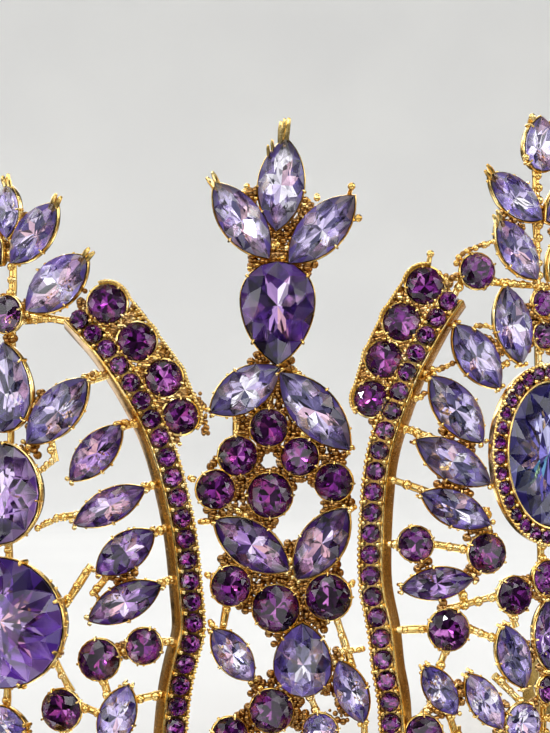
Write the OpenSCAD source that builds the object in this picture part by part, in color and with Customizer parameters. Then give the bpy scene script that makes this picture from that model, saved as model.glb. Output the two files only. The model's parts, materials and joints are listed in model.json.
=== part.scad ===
// Pageant crown: a scalloped, open-backed crown of gold-plated cast metal.
// Three tall panels stand on a base band, with a lower spire in each valley
// between them. Millimetres, +Z up, front towards -Y, standing on Z = 0.

/* [Plan] */
// Mean radius of the crown, to the seats of its stones
plan_r = 74; // [66:1:80]
// How far the panels bulge out of the mean radius, and the valleys in
scallop = 4; // [2:0.5:5]
// Angle from one panel's centre line to the next
panel_pitch = 58; // [56:1:60]
// Angle from the front to each end of the base band
end_turn = 98; // [92:1:110]

/* [Base band] */
// Height of the base band
band_h = 12; // [9:0.5:13]
// Thickness of the base band
band_t = 3.2; // [2.4:0.2:4]

/* [Cups] */
// Wall of a stone's cup
cup_wall = 0.6; // [0.4:0.1:0.8]
// Floor of a stone's cup
cup_floor = 0.6; // [0.4:0.1:1]
// Gap between a stone and its cup
stone_gap = 0.1; // [0.05:0.05:0.2]
// Radius of the claws and of the short links
link_r = 0.65; // [0.5:0.05:0.8]

/* [Strips] */
// Width of the channel that holds a strip's row of small stones
channel_w = 2.3; // [2:0.1:2.6]
// Width of the polished bevel beside the channel
bevel_w = 1.2; // [1:0.1:2]
// Thickness of a strip from back to front
strip_t = 3; // [2.4:0.2:4]

/* [Hidden] */
gold = [0.83, 0.62, 0.24];
lilac = [0.78, 0.70, 0.93];
violet = [0.56, 0.38, 0.82];
amethyst = [0.36, 0.07, 0.44];
blue_violet = [0.30, 0.30, 0.72];
valley = panel_pitch / 2;
// Shift that centres the whole crown on the origin in Y
shift_y = 35.49;
// Space between the castings, where they are soldered
seam = 0.1;

// ---- Stone tables -------------------------------------------------------
// Columns: name, cut, turn from the section's centre line (degrees, towards
// the wearer's left), height, lean of the long axis (degrees from upright),
// length, width, colour.

spire_stones = [
  ["top_centre_navette", "navette",  0.7, 92.4,    6, 13.2,  6.4, lilac],
  ["top_left_navette",   "navette", -3.8, 87.3,  -36, 13.0,  5.9, lilac],
  ["top_right_navette",  "navette",  5.3, 86.0,   45, 13.0,  6.1, lilac],
  ["pear",               "pear",     0.3, 74.3,  180, 14.4, 10.2, violet],
  ["left_leaf",          "navette", -3.4, 63.7, -123, 11.4,  5.8, lilac],
  ["right_leaf",         "navette",  4.5, 60.8,  138, 14.4,  6.2, lilac],
  ["upper_round",        "round",   -0.7, 58.5,    0,  5.1,  5.1, amethyst],
  ["left_round",         "round",   -4.2, 54.6,    0,  5.3,  5.3, amethyst],
  ["right_round",        "round",    2.8, 54.5,    0,  5.1,  5.1, amethyst],
  ["far_left_round",   "round",  -6.6, 50.0,    0,  5.2,  5.2, amethyst],
  ["middle_round",       "round",   -0.6, 49.2,    0,  6.1,  6.1, amethyst],
  ["far_right_round",    "round",    6.5, 51.0,    0,  5.1,  5.1, amethyst],
  ["left_wing",          "navette", -2.6, 42.4,  -56, 12.2,  5.8, violet],
  ["right_wing",         "navette",  5.2, 42.6,   36, 11.8,  5.8, violet],
  ["low_left_round",   "round",  -4.9, 36.9,    0,  5.3,  5.3, amethyst],
  ["low_middle_round",   "round",    0.1, 33.8,    0,  6.3,  6.3, amethyst],
  ["low_right_round",  "round",   5.9, 35.4,    0,  6.1,  6.1, amethyst]
];
spire_low_stones = [
  ["", "navette", -4.7, 27.6,  -38,  8.8, 4.5, lilac],
  ["", "pear",     3.1, 26.9,    0,  9.8, 7.8, lilac],
  ["", "navette",  8.3, 22.8,  -22,  8.8, 4.3, lilac],
  ["", "round",   -0.4, 20.0,    0,  5.8, 5.8, amethyst],
  ["", "round",    5.0, 17.4,    0,  4.6, 4.6, lilac],
  ["", "round",   -5.0, 16.8,    0,  4.8, 4.8, amethyst]
];

// Centre panel: one half, which is mirrored, and the stones on its axis
centre_half_stones = [
  ["", "navette",  -3.8, 72.7,  -12, 11.0, 5.6, lilac],
  ["", "navette",  -7.8, 68.2,  -36, 10.6, 5.5, lilac],
  ["", "navette", -10.0, 60.9,  -38, 11.4, 5.6, lilac],
  ["", "navette", -10.4, 53.8,  -60, 11.8, 5.2, lilac],
  ["", "navette", -10.2, 47.4,  -66, 10.4, 4.7, lilac],
  ["", "round",   -14.2, 42.7,    0,  4.6, 4.6, amethyst],
  ["", "round",    -7.0, 41.4,    0,  5.2, 5.2, amethyst],
  ["", "navette", -12.1, 37.4,  -98,  9.8, 4.2, violet],
  ["", "round",    -4.0, 35.6,    0,  5.0, 5.0, amethyst],
  ["", "round",   -11.0, 31.2,    0,  5.4, 5.4, amethyst],
  ["", "navette",  -4.2, 27.4,  -20,  9.0, 4.8, lilac],
  ["", "navette",  -7.4, 21.6,  -33,  8.8, 4.2, lilac],
  ["", "navette", -11.9, 23.2,  -33,  7.6, 4.0, lilac],
  ["", "round",   -13.5, 17.4,    0,  4.8, 4.8, amethyst],
  ["", "round",    -3.2, 18.4,    0,  5.2, 5.2, lilac]
];
centre_axis_stones = [
  ["", "round",   0, 71.4,   0,  3.6, 3.6, amethyst],
  ["", "round",   0, 76.0,   0,  3.6, 3.6, amethyst],
  ["", "round",   0, 37.8,   0,  4.6, 4.6, amethyst],
  ["", "navette", 0, 30.0,   0,  9.6, 4.6, violet],
  ["", "round",   0, 22.6,   0,  3.6, 3.6, amethyst]
];
centre_finial_stones = [
  ["", "navette", -3.2, 83.2,  -38, 10.0, 5.2, lilac],
  ["", "navette", -3.3, 90.6,  -54, 10.0, 5.2, lilac],
  ["", "round",   -7.7, 80.0,    0,  4.8, 4.8, amethyst]
];
centre_shoulder_stones = [
  ["", "round",  -13.1, 77.9,    0,  5.0, 5.0, amethyst],
  ["", "round",  -15.4, 72.9,    0,  5.0, 5.0, amethyst],
  ["", "round",  -17.2, 67.8,    0,  4.9, 4.9, amethyst],
  ["", "round",  -18.5, 62.4,    0,  4.7, 4.7, amethyst]
];
// Big stones of the centre panel, each a node of its own
centre_big_stones = [
  ["oval",     "oval", 0, 54.8, 0, 19.6, 14.8, blue_violet],
  ["top_pear", "pear", 0, 98.6, 0,  7.8,  6.0, lilac]
];

// Side panel: one half, which is mirrored, and the stones on its axis
side_half_stones = [
  ["", "navette",   6.2, 60.7,   45, 12.4, 6.0, lilac],
  ["", "navette",  10.3, 55.0,   43, 10.2, 4.8, violet],
  ["", "navette",  11.7, 47.8,   63, 10.8, 4.4, violet],
  ["", "navette",  13.3, 41.6,   54,  9.4, 4.9, violet],
  ["", "navette",  13.3, 34.9,   64, 10.8, 4.8, violet],
  ["", "round",    15.2, 29.0,    0,  4.7, 4.7, amethyst],
  ["", "round",    10.8, 27.2,    0,  5.4, 5.4, amethyst],
  ["", "round",     7.0, 20.4,    0,  5.4, 5.4, amethyst],
  ["", "navette",  12.6, 19.6,   20,  9.0, 4.8, lilac]
];
side_axis_stones = [
  ["", "round",   0, 74.4,   0,  5.2, 5.2, amethyst],
  ["", "navette", 0, 17.8,  90,  9.0, 5.0, lilac]
];
side_finial_stones = [
  ["", "navette",   6.0, 78.3,   51, 11.4, 6.4, lilac],
  ["", "navette",   3.3, 85.5,   41, 10.6, 5.5, lilac]
];
side_shoulder_stones = [
  ["", "round",    11.3, 75.4,    0,  5.2,  5.2, amethyst],
  ["", "round",    14.3, 70.2,    0,  5.1,  5.1, amethyst],
  ["", "round",    17.0, 65.2,    0,  4.9, 4.9, amethyst],
  ["", "round",    18.7, 60.0,    0,  4.7, 4.7, amethyst]
];
side_big_stones = [
  ["low_oval",    "oval",    0, 31.8, 90, 22.4, 17.6, violet],
  ["round",       "round",   0, 49.4,  0, 13.8, 13.8, violet],
  ["pear",        "pear",    0, 64.2,  0, 12.4,  9.4, lilac],
  ["top_navette", "navette", 0, 89.0,  0,  7.6,  4.0, lilac]
];

// ---- Strip tables: turn from the panel's centre line, height ---------------
centre_strip = [
  [-10.2, 76.8], [-11.6, 74.2], [-13.1, 70.8], [-14.8, 66.4], [-16.5, 60.6],
  [-17.8, 55.0], [-18.4, 49.0], [-18.7, 42.0], [-18.6, 36.6], [-17.8, 31.0],
  [-17.4, 26.0], [-16.8, 21.0], [-16.6, 11.0]
];
side_strip = [
  [  7.8, 74.2], [  9.4, 72.0], [ 11.3, 69.2], [ 13.7, 64.6], [ 15.8, 59.6],
  [ 17.3, 54.6], [ 18.5, 48.6], [ 19.3, 43.0], [ 19.8, 36.8], [ 20.1, 31.0],
  [ 19.3, 26.6], [ 18.6, 21.6], [ 18.0, 11.0]
];

// ---- Link tables: turn and height of one end, then of the other ------------
spire_links = [
  [ 0.3, 82.6,  0.3, 86.4], [-1.6, 84.0,  2.6, 83.4], [ 0.3, 66.6, 0.3, 68.6],
  [-4.2, 58.0, -4.2, 63.0], [ 2.8, 57.0,  4.6, 60.0], [-0.7, 61.0, -0.4, 64.8],
    [-2.4, 46.0, -5.6, 48.0], [ 6.6, 46.6,  6.6, 49.0], [-5.0, 39.0, -4.8, 41.8],
  [ 1.8, 37.0,  1.6, 41.0], [ 5.0, 37.4,  4.2, 40.0], [-5.2, 34.4, -5.6, 31.4],
  [ 0.8, 30.8,  2.4, 30.2], [ 6.6, 32.6,  8.0, 27.0], [-2.8, 24.8, -1.4, 22.6],
  [ 3.6, 22.4,  4.6, 19.4], [-2.6, 19.4, -4.0, 18.0], [-0.2, 18.0, -0.2, 12.2],
  [ 5.0, 15.4,  5.0, 12.2], [-5.0, 15.0, -5.0, 12.2], [ 9.5, 19.0,  9.5, 12.2]
];
centre_links = [
  [-17.0, 42.6, -14.0, 42.6], [-16.0, 31.0, -12.6, 31.2], [-14.0, 50.2, -17.0, 51.6],
  [-13.6, 57.6, -15.6, 58.6], [-12.4, 65.0, -13.6, 65.8], [ -9.6, 42.0, -12.4, 42.6],
  [-13.6, 15.4, -13.6, 12.2], [-13.8, 19.4, -12.8, 20.8], [ -3.2, 16.0,  -3.2, 12.2],
  [-7.0, 44.0, -6.6, 47.4], [ -8.8, 31.2,  -6.0, 29.8], [ -9.0, 33.4,  -9.4, 36.0],
  [-4.0, 33.4, -3.4, 31.4], [ -8.6, 34.6,  -6.0, 35.4], [-11.0, 28.8, -11.6, 26.8],
  [-5.8, 24.6, -5.0, 23.6], [-11.0, 20.4, -10.0, 16.0], [-10.0, 18.0, -10.0, 12.2], [-9.4, 79.4, -11.6, 78.6]
];
centre_axis_links = [
  [0, 66.0, 0, 70.0], [0, 73.0, 0, 74.6], [0, 77.6, 0, 95.6], [0, 39.8, 0, 44.0],
  [0, 34.6, 0, 36.0], [0, 23.6, 0, 25.6], [0, 21.0, 0, 12.2], [-3.6, 18.4, 3.6, 18.4],
  [-3.8, 35.4, 3.8, 35.4], [-3.4, 27.4, 3.4, 27.4], [-7.0, 79.0, -3.4, 78.6],
  [3.4, 78.6, 7.0, 79.0], [-3.4, 78.6, 3.4, 78.6], [-9.0, 79.0, -10.0, 76.6], [9.0, 79.0, 10.0, 76.6]
];
side_links = [
  [ 12.4, 58.4, 14.2, 59.2], [ 15.4, 50.4, 17.0, 51.0], [ 16.4, 44.2, 17.6, 45.0],
  [ 17.0, 37.4, 18.4, 38.0], [ 16.8, 29.4, 18.4, 29.4], [ 12.4, 28.0, 13.8, 28.6],
  [  7.6, 22.8,  6.8, 24.6], [  7.0, 18.0,  7.0, 12.2], [ 12.4, 15.6, 12.4, 12.2],
  [  9.2, 20.6, 11.2, 19.6], [  4.4, 73.8, 7.6, 73.0], [  4.6, 59.0,  2.6, 56.0],
  [  8.6, 51.6,  8.0, 54.0], [  6.4, 46.2,  8.4, 46.6], [  9.6, 39.6,  8.6, 37.6],
  [ 11.6, 38.6, 10.0, 36.0], [ 9.7, 74.5, 9.7, 72.1], [ 5.2, 56.2, 5.6, 54.0],
  [ 14.0, 21.6, 17.0, 22.4], [ 11.0, 24.8, 11.4, 23.0], [ 9.2, 64.8, 11.9, 66.0]
];
side_axis_links = [
  [0, 40.2, 0, 42.9], [0, 56.0, 0, 58.4], [0, 70.0, 0, 72.4], [0, 76.4, 0, 85.6],
  [0, 20.0, 0, 23.4], [0, 16.0, 0, 12.2], [-5.0, 73.6, 5.0, 73.6]
];

// ---- Geometry of the crown's surface ---------------------------------------
// Radius of the plan at an angle from the front: flat-topped panels, round valleys
function wave(t) = cos(360 * t / panel_pitch) - 0.1 * cos(720 * t / panel_pitch);
function radius(t) = plan_r + scallop * (abs(t) > 1.5 * panel_pitch ? -1.1 : wave(t));
// Plan point at an angle, moved out by o along the surface's normal
function plan_tangent(t) =
  let (a = radius(t - 0.1), b = radius(t + 0.1),
       v = [b * sin(t + 0.1) - a * sin(t - 0.1), -b * cos(t + 0.1) + a * cos(t - 0.1)])
  v / norm(v);
function plan_point(t, o = 0) =
  let (e = plan_tangent(t)) [radius(t) * sin(t) + o * e.y, -radius(t) * cos(t) - o * e.x + shift_y];
function surface_point(t, z, o = 0) = let (p = plan_point(t, o)) [p.x, p.y, z];

// Children drawn in a stone's own frame: X across, Y along its length, Z outwards
module seat(t, z, lean = 0, out = 0) {
  e = plan_tangent(t);
  p = plan_point(t, out);
  multmatrix([[e.x, 0, e.y, p.x], [e.y, 0, -e.x, p.y], [0, 1, 0, z], [0, 0, 0, 1]])
    rotate([0, 0, -lean]) children();
}

// ---- Cuts ------------------------------------------------------------------
// Height above and below the girdle
function crown_h(w) = 0.55 + 0.11 * w;
function pavilion_h(w) = 0.75 + 0.17 * w;
// Radius of a navette's two arcs
function arc_r(l, w) = (l * l + w * w) / (4 * w);

// Outline of a cut as a polygon of about n corners that lies just outside its arcs
function arc_corners(x, y, r, a0, a1, m) = let (h = (a1 - a0) / m)
  [for (i = [0:m - 1]) let (a = a0 + h * (i + 0.5)) [x + r / cos(h / 2) * cos(a), y + r / cos(h / 2) * sin(a)]];
function navette_points(l, w, n) =
  let (r = arc_r(l, w), d = r - w / 2, h = asin(l / 2 / r), m = floor(n / 2) - 1)
  concat([[0, -l / 2]], arc_corners(-d, 0, r, -h, h, m), [[0, l / 2]], arc_corners(d, 0, r, 180 - h, 180 + h, m));
function ellipse_points(l, w, n) =
  [for (i = [0:n - 1]) [w / 2 * cos(360 * (i + 0.5) / n), l / 2 * sin(360 * (i + 0.5) / n)] / cos(180 / n)];
// A pear's round end has the radius w / 2 and is centred this far below the middle
function pear_shift(l, w) = l / 2 - w / 2;
// Radius of the two arcs that run from its round end to its point
function pear_arc(l, w) = let (q = l - w / 2) (q * q + w * w / 4) / w;
function pear_points(l, w, n) =
  let (r = w / 2, c = -pear_shift(l, w), k = pear_arc(l, w), h = asin((l - r) / k), m = floor(n / 4))
  concat(arc_corners(0, c, r, 180, 360, n - 1 - 2 * m), arc_corners(r - k, c, k, 0, h, m), [[0, l / 2]],
         arc_corners(k - r, c, k, 180 - h, 180, m));
function outline_points(cut, l, w, g, n) =
  cut == "navette" ? navette_points(l + 2.6 * g, w + 2 * g, n)
  : cut == "pear" ? pear_points(l + 2.4 * g, w + 2 * g, n)
  : ellipse_points(l + 2 * g, w + 2 * g, n);
function corners(cut, l) = cut == "navette" ? 8 : cut == "pear" ? 9 : l > 10 ? 16 : 8;

// Bevelled disc from which the round cuts and the arcs of the others are taken
module gem_disc(r, w) {
  c = crown_h(w);
  p = pavilion_h(w);
  rotate_extrude($fn = 96)
    polygon([[0, -p], [r - w * 0.44, -p], [r, -0.15], [r, 0.15], [r - w * 0.19, c], [0, c]]);
}
module navette_gem(l, w) {
  r = arc_r(l, w);
  intersection() {
    translate([r - w / 2, 0, 0]) gem_disc(r, w);
    translate([w / 2 - r, 0, 0]) gem_disc(r, w);
  }
}
module round_gem(w) gem_disc(w / 2, w);
module pear_gem(l, w) {
  r = w / 2;
  k = pear_arc(l, w);
  translate([0, -pear_shift(l, w), 0]) {
    intersection() {
      translate([k - r, 0, 0]) gem_disc(k, w);
      translate([r - k, 0, 0]) gem_disc(k, w);
      translate([-w, 0, -w]) cube([2 * w, l, 2 * w]);
    }
    intersection() {
      gem_disc(r, w);
      translate([-w, -w, -w]) cube([2 * w, w, 2 * w]);
    }
  }
}
module oval_gem(l, w) hull() {
  c = crown_h(w);
  p = pavilion_h(w);
  for (s = [[0.62, c], [1, 0.15], [1, -0.15], [0.2, -p]])
    translate([0, 0, s[1] - 0.01]) linear_extrude(0.02)
      polygon(ellipse_points(l * s[0] * cos(9), w * s[0] * cos(9), 20));
}
module stone(s) seat_of(s)
  if (s[1] == "navette") navette_gem(s[5], s[6]);
  else if (s[1] == "pear") pear_gem(s[5], s[6]);
  else if (s[1] == "oval") oval_gem(s[5], s[6]);
  else round_gem(s[6]);
// How far a stone's girdle stands out of the surface
function stand(s) = s[6] > 12 ? 1.2 : s[6] > 9 ? 0.6 : 0.3;
module seat_of(s) seat(s[8], s[3], s[4], stand(s)) children();

// A table's rows placed on a section's centre line: angle from the front in column 8
function place(rows, axis) = [for (s = rows) [s[0], s[1], s[2], s[3], s[4], s[5], s[6], s[7], axis + s[2]]];
// The same rows mirrored about the section's centre line, then placed
function place_mirrored(rows, axis) = [for (s = rows) [s[0], s[1], -s[2], s[3], -s[4], s[5], s[6], s[7], axis - s[2]]];
function both(rows, axis) = concat(place(rows, axis), place_mirrored(rows, axis));

// ---- Metal -----------------------------------------------------------------
module cup(s) {
  n = corners(s[1], s[5]);
  d = pavilion_h(s[6]) + stone_gap + cup_floor;
  seat_of(s) {
    translate([0, 0, -d]) linear_extrude(d + 0.35)
      polygon(outline_points(s[1], s[5], s[6], stone_gap + cup_wall, n));
    // A claw at the free point of each of the topmost stones
    if (s[1] == "navette" && s[3] > 77)
      translate([0, s[5] / 2 + 0.7, -1.2]) cylinder(r = 0.5, h = 2.2, $fn = 5);
  }
}
// The space that a stone takes, open to the front
module pocket(s) {
  n = corners(s[1], s[5]);
  d = pavilion_h(s[6]) + stone_gap;
  seat_of(s) translate([0, 0, -d]) linear_extrude(d + crown_h(s[6]) + 3)
    polygon(outline_points(s[1], s[5], s[6], stone_gap, n));
}
// The space that a shoulder stone's cup takes out of the row beside it
module cup_space(s) seat_of(s) translate([0, 0, -2])
  linear_extrude(4) polygon(outline_points(s[1], s[5], s[6], stone_gap + cup_wall + 0.1, corners(s[1], s[5])));
// A link between two cups: a round rod, or in the centre panel a flat strut
module rod(a) {
  p = surface_point(a[0], a[1], -1.5);
  v = surface_point(a[2], a[3], -1.5) - p;
  translate(p) rotate([0, acos(v.z / norm(v)), atan2(v.y, v.x)]) cylinder(r = link_r, h = norm(v), $fn = 5);
}
module strut(a) hull() {
  for (e = [[a[0], a[1]], [a[2], a[3]]]) seat(e[0], e[1], 0, -2.1)
    linear_extrude(1.2) polygon([for (i = [0:3]) link_r * [cos(90 * i), sin(90 * i)]]);
}
function link_place(rows, axis, side = 1) = [for (a = rows) [axis + side * a[0], a[1], axis + side * a[2], a[3]]];

// Smooth route through a strip's points: k steps between two of them
function blend(a, b, c, d, u) = 0.5 * (2 * b + (c - a) * u + (2 * a - 5 * b + 4 * c - d) * u * u + (3 * b - a - 3 * c + d) * u * u * u);
function route(rows, k) = let (m = len(rows) - 1) concat(
  [for (i = [0:m - 1]) for (j = [0:k - 1])
    blend(rows[max(i - 1, 0)], rows[i], rows[i + 1], rows[min(i + 2, m)], j / k)], [rows[m]]);
// Section of a strip, as [towards the panel's centre, outwards]
function strip_section() = let (c = channel_w / 2) [
  [-c - 0.45, 0.9 - strip_t], [c + 0.4 + bevel_w, 0.9 - strip_t], [c + 0.4, 0.9], [c + 0.1, 0.9],
  [c + 0.1, -0.5], [-c - 0.1, -0.5], [-c - 0.1, 0.9], [-c - 0.45, 0.9]];
function row_section() = let (c = channel_w / 2 - 0.05) [[-c, -0.35], [c, -0.35], [c - 0.1, 0.7], [0, 1.0], [0.1 - c, 0.7]];

// A closed bar of the given section along a route of [angle, height] points.
// side is the way to the panel's centre: 1 towards greater angles
module sweep(pts, sec, side) {
  n = len(pts);
  m = len(sec);
  xyz = [for (p = pts) surface_point(p[0], p[1])];
  rings = [for (i = [0:n - 1])
    let (v = xyz[min(i + 1, n - 1)] - xyz[max(i - 1, 0)], d = v / norm(v),
         e = plan_tangent(pts[i][0]), o = [e.y, -e.x, 0],
         // the last ring lies flat, below where the strip is cut off square
         dd = i == n - 1 ? [0, 0, -1] : d, a = side * cross(o, dd))
    [for (q = sec) xyz[i] + q[0] * a + q[1] * o]];
  quads = [for (i = [0:n - 2]) for (j = [0:m - 1])
    let (a = i * m + j, b = i * m + (j + 1) % m, c = a + m, f = b + m)
    each (side > 0 ? [[a, c, b], [b, c, f]] : [[a, b, c], [b, f, c]])];
  caps = side > 0
    ? [[for (j = [0:m - 1]) j], [for (j = [m - 1:-1:0]) (n - 1) * m + j]]
    : [[for (j = [m - 1:-1:0]) j], [for (j = [0:m - 1]) (n - 1) * m + j]];
  polyhedron([for (r = rings) each r], concat(quads, caps), convexity = 6);
}
function mirrored(rows) = [for (p = rows) [-p[0], p[1]]];
// A row of small stones stops short of the band
function row_points(rows) = [for (i = [0:len(rows) - 1]) i < len(rows) - 1 ? rows[i] : [rows[i].x, band_h + 0.4]];
function placed(rows, axis) = [for (p = rows) [axis + p[0], p[1]]];

// Halo round the big oval: its seat and its channel
module halo_seat(s) seat_of(s) difference() {
  translate([0, 0, -3.6]) linear_extrude(4.1) polygon(ellipse_points(s[5] + 5.7, s[6] + 5.7, 26));
  difference() {
    translate([0, 0, -0.7]) linear_extrude(3) polygon(ellipse_points(s[5] + 4.9, s[6] + 4.9, 26));
    translate([0, 0, -1]) linear_extrude(4) polygon(ellipse_points(s[5] + 1.7, s[6] + 1.7, 26));
  }
}
module halo_row(s) seat_of(s) translate([0, 0, -0.6]) linear_extrude(1.3) difference() {
  polygon(ellipse_points(s[5] + 4.6, s[6] + 4.6, 40));
  polygon(ellipse_points(s[5] + 2.1, s[6] + 2.1, 40));
}

// A section's metal: cups, strips and links, less the stones' spaces
module metal(stones, rods = [], struts = []) {
  difference() {
    union() {
      children();
      for (s = stones) cup(s);
      for (a = rods) rod(a);
      for (a = struts) strut(a);
    }
    for (s = stones) pocket(s);
    translate([-150, -150, -40]) cube([300, 300, 40 + band_h + seam]);
  }
}

// ---- Sections --------------------------------------------------------------
spire_all = concat(spire_stones, spire_low_stones);
module left_spire_frame() color(gold)
  metal(place(spire_all, -valley), link_place(spire_links, -valley));
centre_pairs = concat(centre_half_stones, centre_finial_stones, centre_shoulder_stones);
module centre_panel_frame() color(gold)
  metal(concat(both(centre_pairs, 0), place(concat(centre_axis_stones, centre_big_stones), 0)),
        struts = concat(link_place(centre_links, 0), link_place(centre_links, 0, -1), link_place(centre_axis_links, 0))) {
    sweep(route(centre_strip, 1), strip_section(), 1);
    sweep(route(mirrored(centre_strip), 1), strip_section(), -1);
    halo_seat(place(centre_big_stones, 0)[0]);
  }
side_pairs = concat(side_half_stones, side_finial_stones, side_shoulder_stones);
module left_panel_frame() color(gold)
  metal(concat(both(side_pairs, -panel_pitch), place(concat(side_axis_stones, side_big_stones), -panel_pitch)),
        concat(link_place(side_links, -panel_pitch), link_place(side_links, -panel_pitch, -1), link_place(side_axis_links, -panel_pitch))) {
    sweep(placed(route(side_strip, 1), -panel_pitch), strip_section(), -1);
    sweep(placed(route(mirrored(side_strip), 1), -panel_pitch), strip_section(), 1);
  }

// Base band: a ring on the scalloped plan, with a channel along its outside
function band_turns() = [for (t = [-end_turn:3.5:end_turn + 0.01]) t];
module band_slice(inner, outer, z0, z1) translate([0, 0, z0]) linear_extrude(z1 - z0)
  polygon(concat([for (t = band_turns()) plan_point(t, outer)],
                 [for (i = [len(band_turns()) - 1:-1:0]) plan_point(band_turns()[i], inner)]));
band_mid = band_h / 2;
module base_band() color(gold) difference() {
  band_slice(0.9 - band_t - 0.6, 0.9, 0, band_h);
  band_slice(-0.5, 3, band_mid - channel_w / 2 - 0.1, band_mid + channel_w / 2 + 0.1);
}
module base_row() color(amethyst)
  translate([0, 0, band_mid - channel_w / 2 + 0.05]) linear_extrude(channel_w - 0.1)
    polygon(concat([for (t = band_turns()) if (abs(t) < end_turn - 0.5) plan_point(t, 0.85)],
                   [for (i = [len(band_turns()) - 1:-1:0]) if (abs(band_turns()[i]) < end_turn - 0.5) plan_point(band_turns()[i], -0.35)]));

module centre_panel_rows() color(amethyst) difference() {
  union() {
    sweep(route(row_points(centre_strip), 1), row_section(), 1);
    sweep(route(mirrored(row_points(centre_strip)), 1), row_section(), -1);
  }
  for (s = both(centre_shoulder_stones, 0)) cup_space(s);
}
module centre_halo_row() color(amethyst) halo_row(place(centre_big_stones, 0)[0]);
module left_panel_rows() color(amethyst) difference() {
  union() {
    sweep(placed(route(row_points(side_strip), 1), -panel_pitch), row_section(), -1);
    sweep(placed(route(mirrored(row_points(side_strip)), 1), -panel_pitch), row_section(), 1);
  }
  for (s = both(side_shoulder_stones, -panel_pitch)) cup_space(s);
}

module stones(rows) for (s = rows) color(s[7]) stone(s);
function cuts(rows, cut) = [for (s = rows) if (s[1] == cut) s];
function leaves(rows) = [for (s = rows) if (s[1] != "round") s];

// Right-hand sections are the mirror of the left-hand ones
module right_hand() mirror([1, 0, 0]) children();

base_band();
base_row();
centre_panel_frame();
centre_panel_rows();
centre_halo_row();
left_panel_frame();
left_panel_rows();
right_hand() left_panel_frame();  // right_panel_frame
right_hand() left_panel_rows();  // right_panel_rows
left_spire_frame();
right_hand() left_spire_frame();  // right_spire_frame
for (s = place(centre_big_stones, 0))
  stones([s]);
for (s = place(side_big_stones, -panel_pitch)) {
  stones([s]);
  right_hand() stones([s]);
}
for (s = place(spire_stones, -valley))
  stones([s]);
stones(place(spire_low_stones, -valley));  // left_spire_low_stones
right_hand() stones(leaves(place(spire_all, -valley)));  // right_spire_leaves
right_hand() stones(cuts(place(spire_all, -valley), "round"));  // right_spire_rounds
stones(leaves(concat(both(centre_half_stones, 0), place(centre_axis_stones, 0))));  // centre_panel_leaves
stones(cuts(concat(both(centre_half_stones, 0), place(centre_axis_stones, 0)), "round"));  // centre_panel_rounds
stones(leaves(both(centre_finial_stones, 0)));  // centre_finial_leaves
stones(cuts(both(concat(centre_finial_stones, centre_shoulder_stones), 0), "round"));  // centre_finial_rounds
stones(leaves(concat(both(side_half_stones, -panel_pitch), place(side_axis_stones, -panel_pitch))));  // left_panel_leaves
stones(cuts(concat(both(side_half_stones, -panel_pitch), place(side_axis_stones, -panel_pitch)), "round"));  // left_panel_rounds
stones(leaves(both(side_finial_stones, -panel_pitch)));  // left_finial_leaves
stones(cuts(both(side_shoulder_stones, -panel_pitch), "round"));  // left_shoulder_rounds
right_hand() stones(leaves(concat(both(side_half_stones, -panel_pitch), place(side_axis_stones, -panel_pitch))));  // right_panel_leaves
right_hand() stones(cuts(concat(both(side_half_stones, -panel_pitch), place(side_axis_stones, -panel_pitch)), "round"));  // right_panel_rounds
right_hand() stones(leaves(both(side_finial_stones, -panel_pitch)));  // right_finial_leaves
right_hand() stones(cuts(both(side_shoulder_stones, -panel_pitch), "round"));  // right_shoulder_rounds
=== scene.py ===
import json
import math
import random

import bpy
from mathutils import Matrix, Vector


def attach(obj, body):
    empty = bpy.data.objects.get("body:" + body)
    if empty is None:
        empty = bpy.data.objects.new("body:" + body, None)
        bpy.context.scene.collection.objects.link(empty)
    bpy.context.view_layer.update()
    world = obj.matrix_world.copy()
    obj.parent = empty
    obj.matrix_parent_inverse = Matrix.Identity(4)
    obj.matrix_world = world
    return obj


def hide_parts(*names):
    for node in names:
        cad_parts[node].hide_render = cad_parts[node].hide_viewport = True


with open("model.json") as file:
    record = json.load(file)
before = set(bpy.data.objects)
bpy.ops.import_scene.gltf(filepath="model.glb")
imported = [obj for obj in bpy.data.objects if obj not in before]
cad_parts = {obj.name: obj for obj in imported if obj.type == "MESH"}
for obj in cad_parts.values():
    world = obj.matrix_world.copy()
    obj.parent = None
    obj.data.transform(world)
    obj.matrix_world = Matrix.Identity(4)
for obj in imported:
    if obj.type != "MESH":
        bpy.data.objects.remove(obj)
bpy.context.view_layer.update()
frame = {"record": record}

# ---------------------------------------------------------------------------
# Sizes, in millimetres, as in part.scad
# ---------------------------------------------------------------------------
PLAN_R, SCALLOP, PITCH, END = 74.0, 4.0, 58.0, 98.0
VALLEY = PITCH / 2
SHIFT = 35.49
BAND_H, BAND_T = 12.0, 3.2
lilac, violet, amethyst, blue_violet = "lilac", "violet", "amethyst", "blue_violet"

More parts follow.
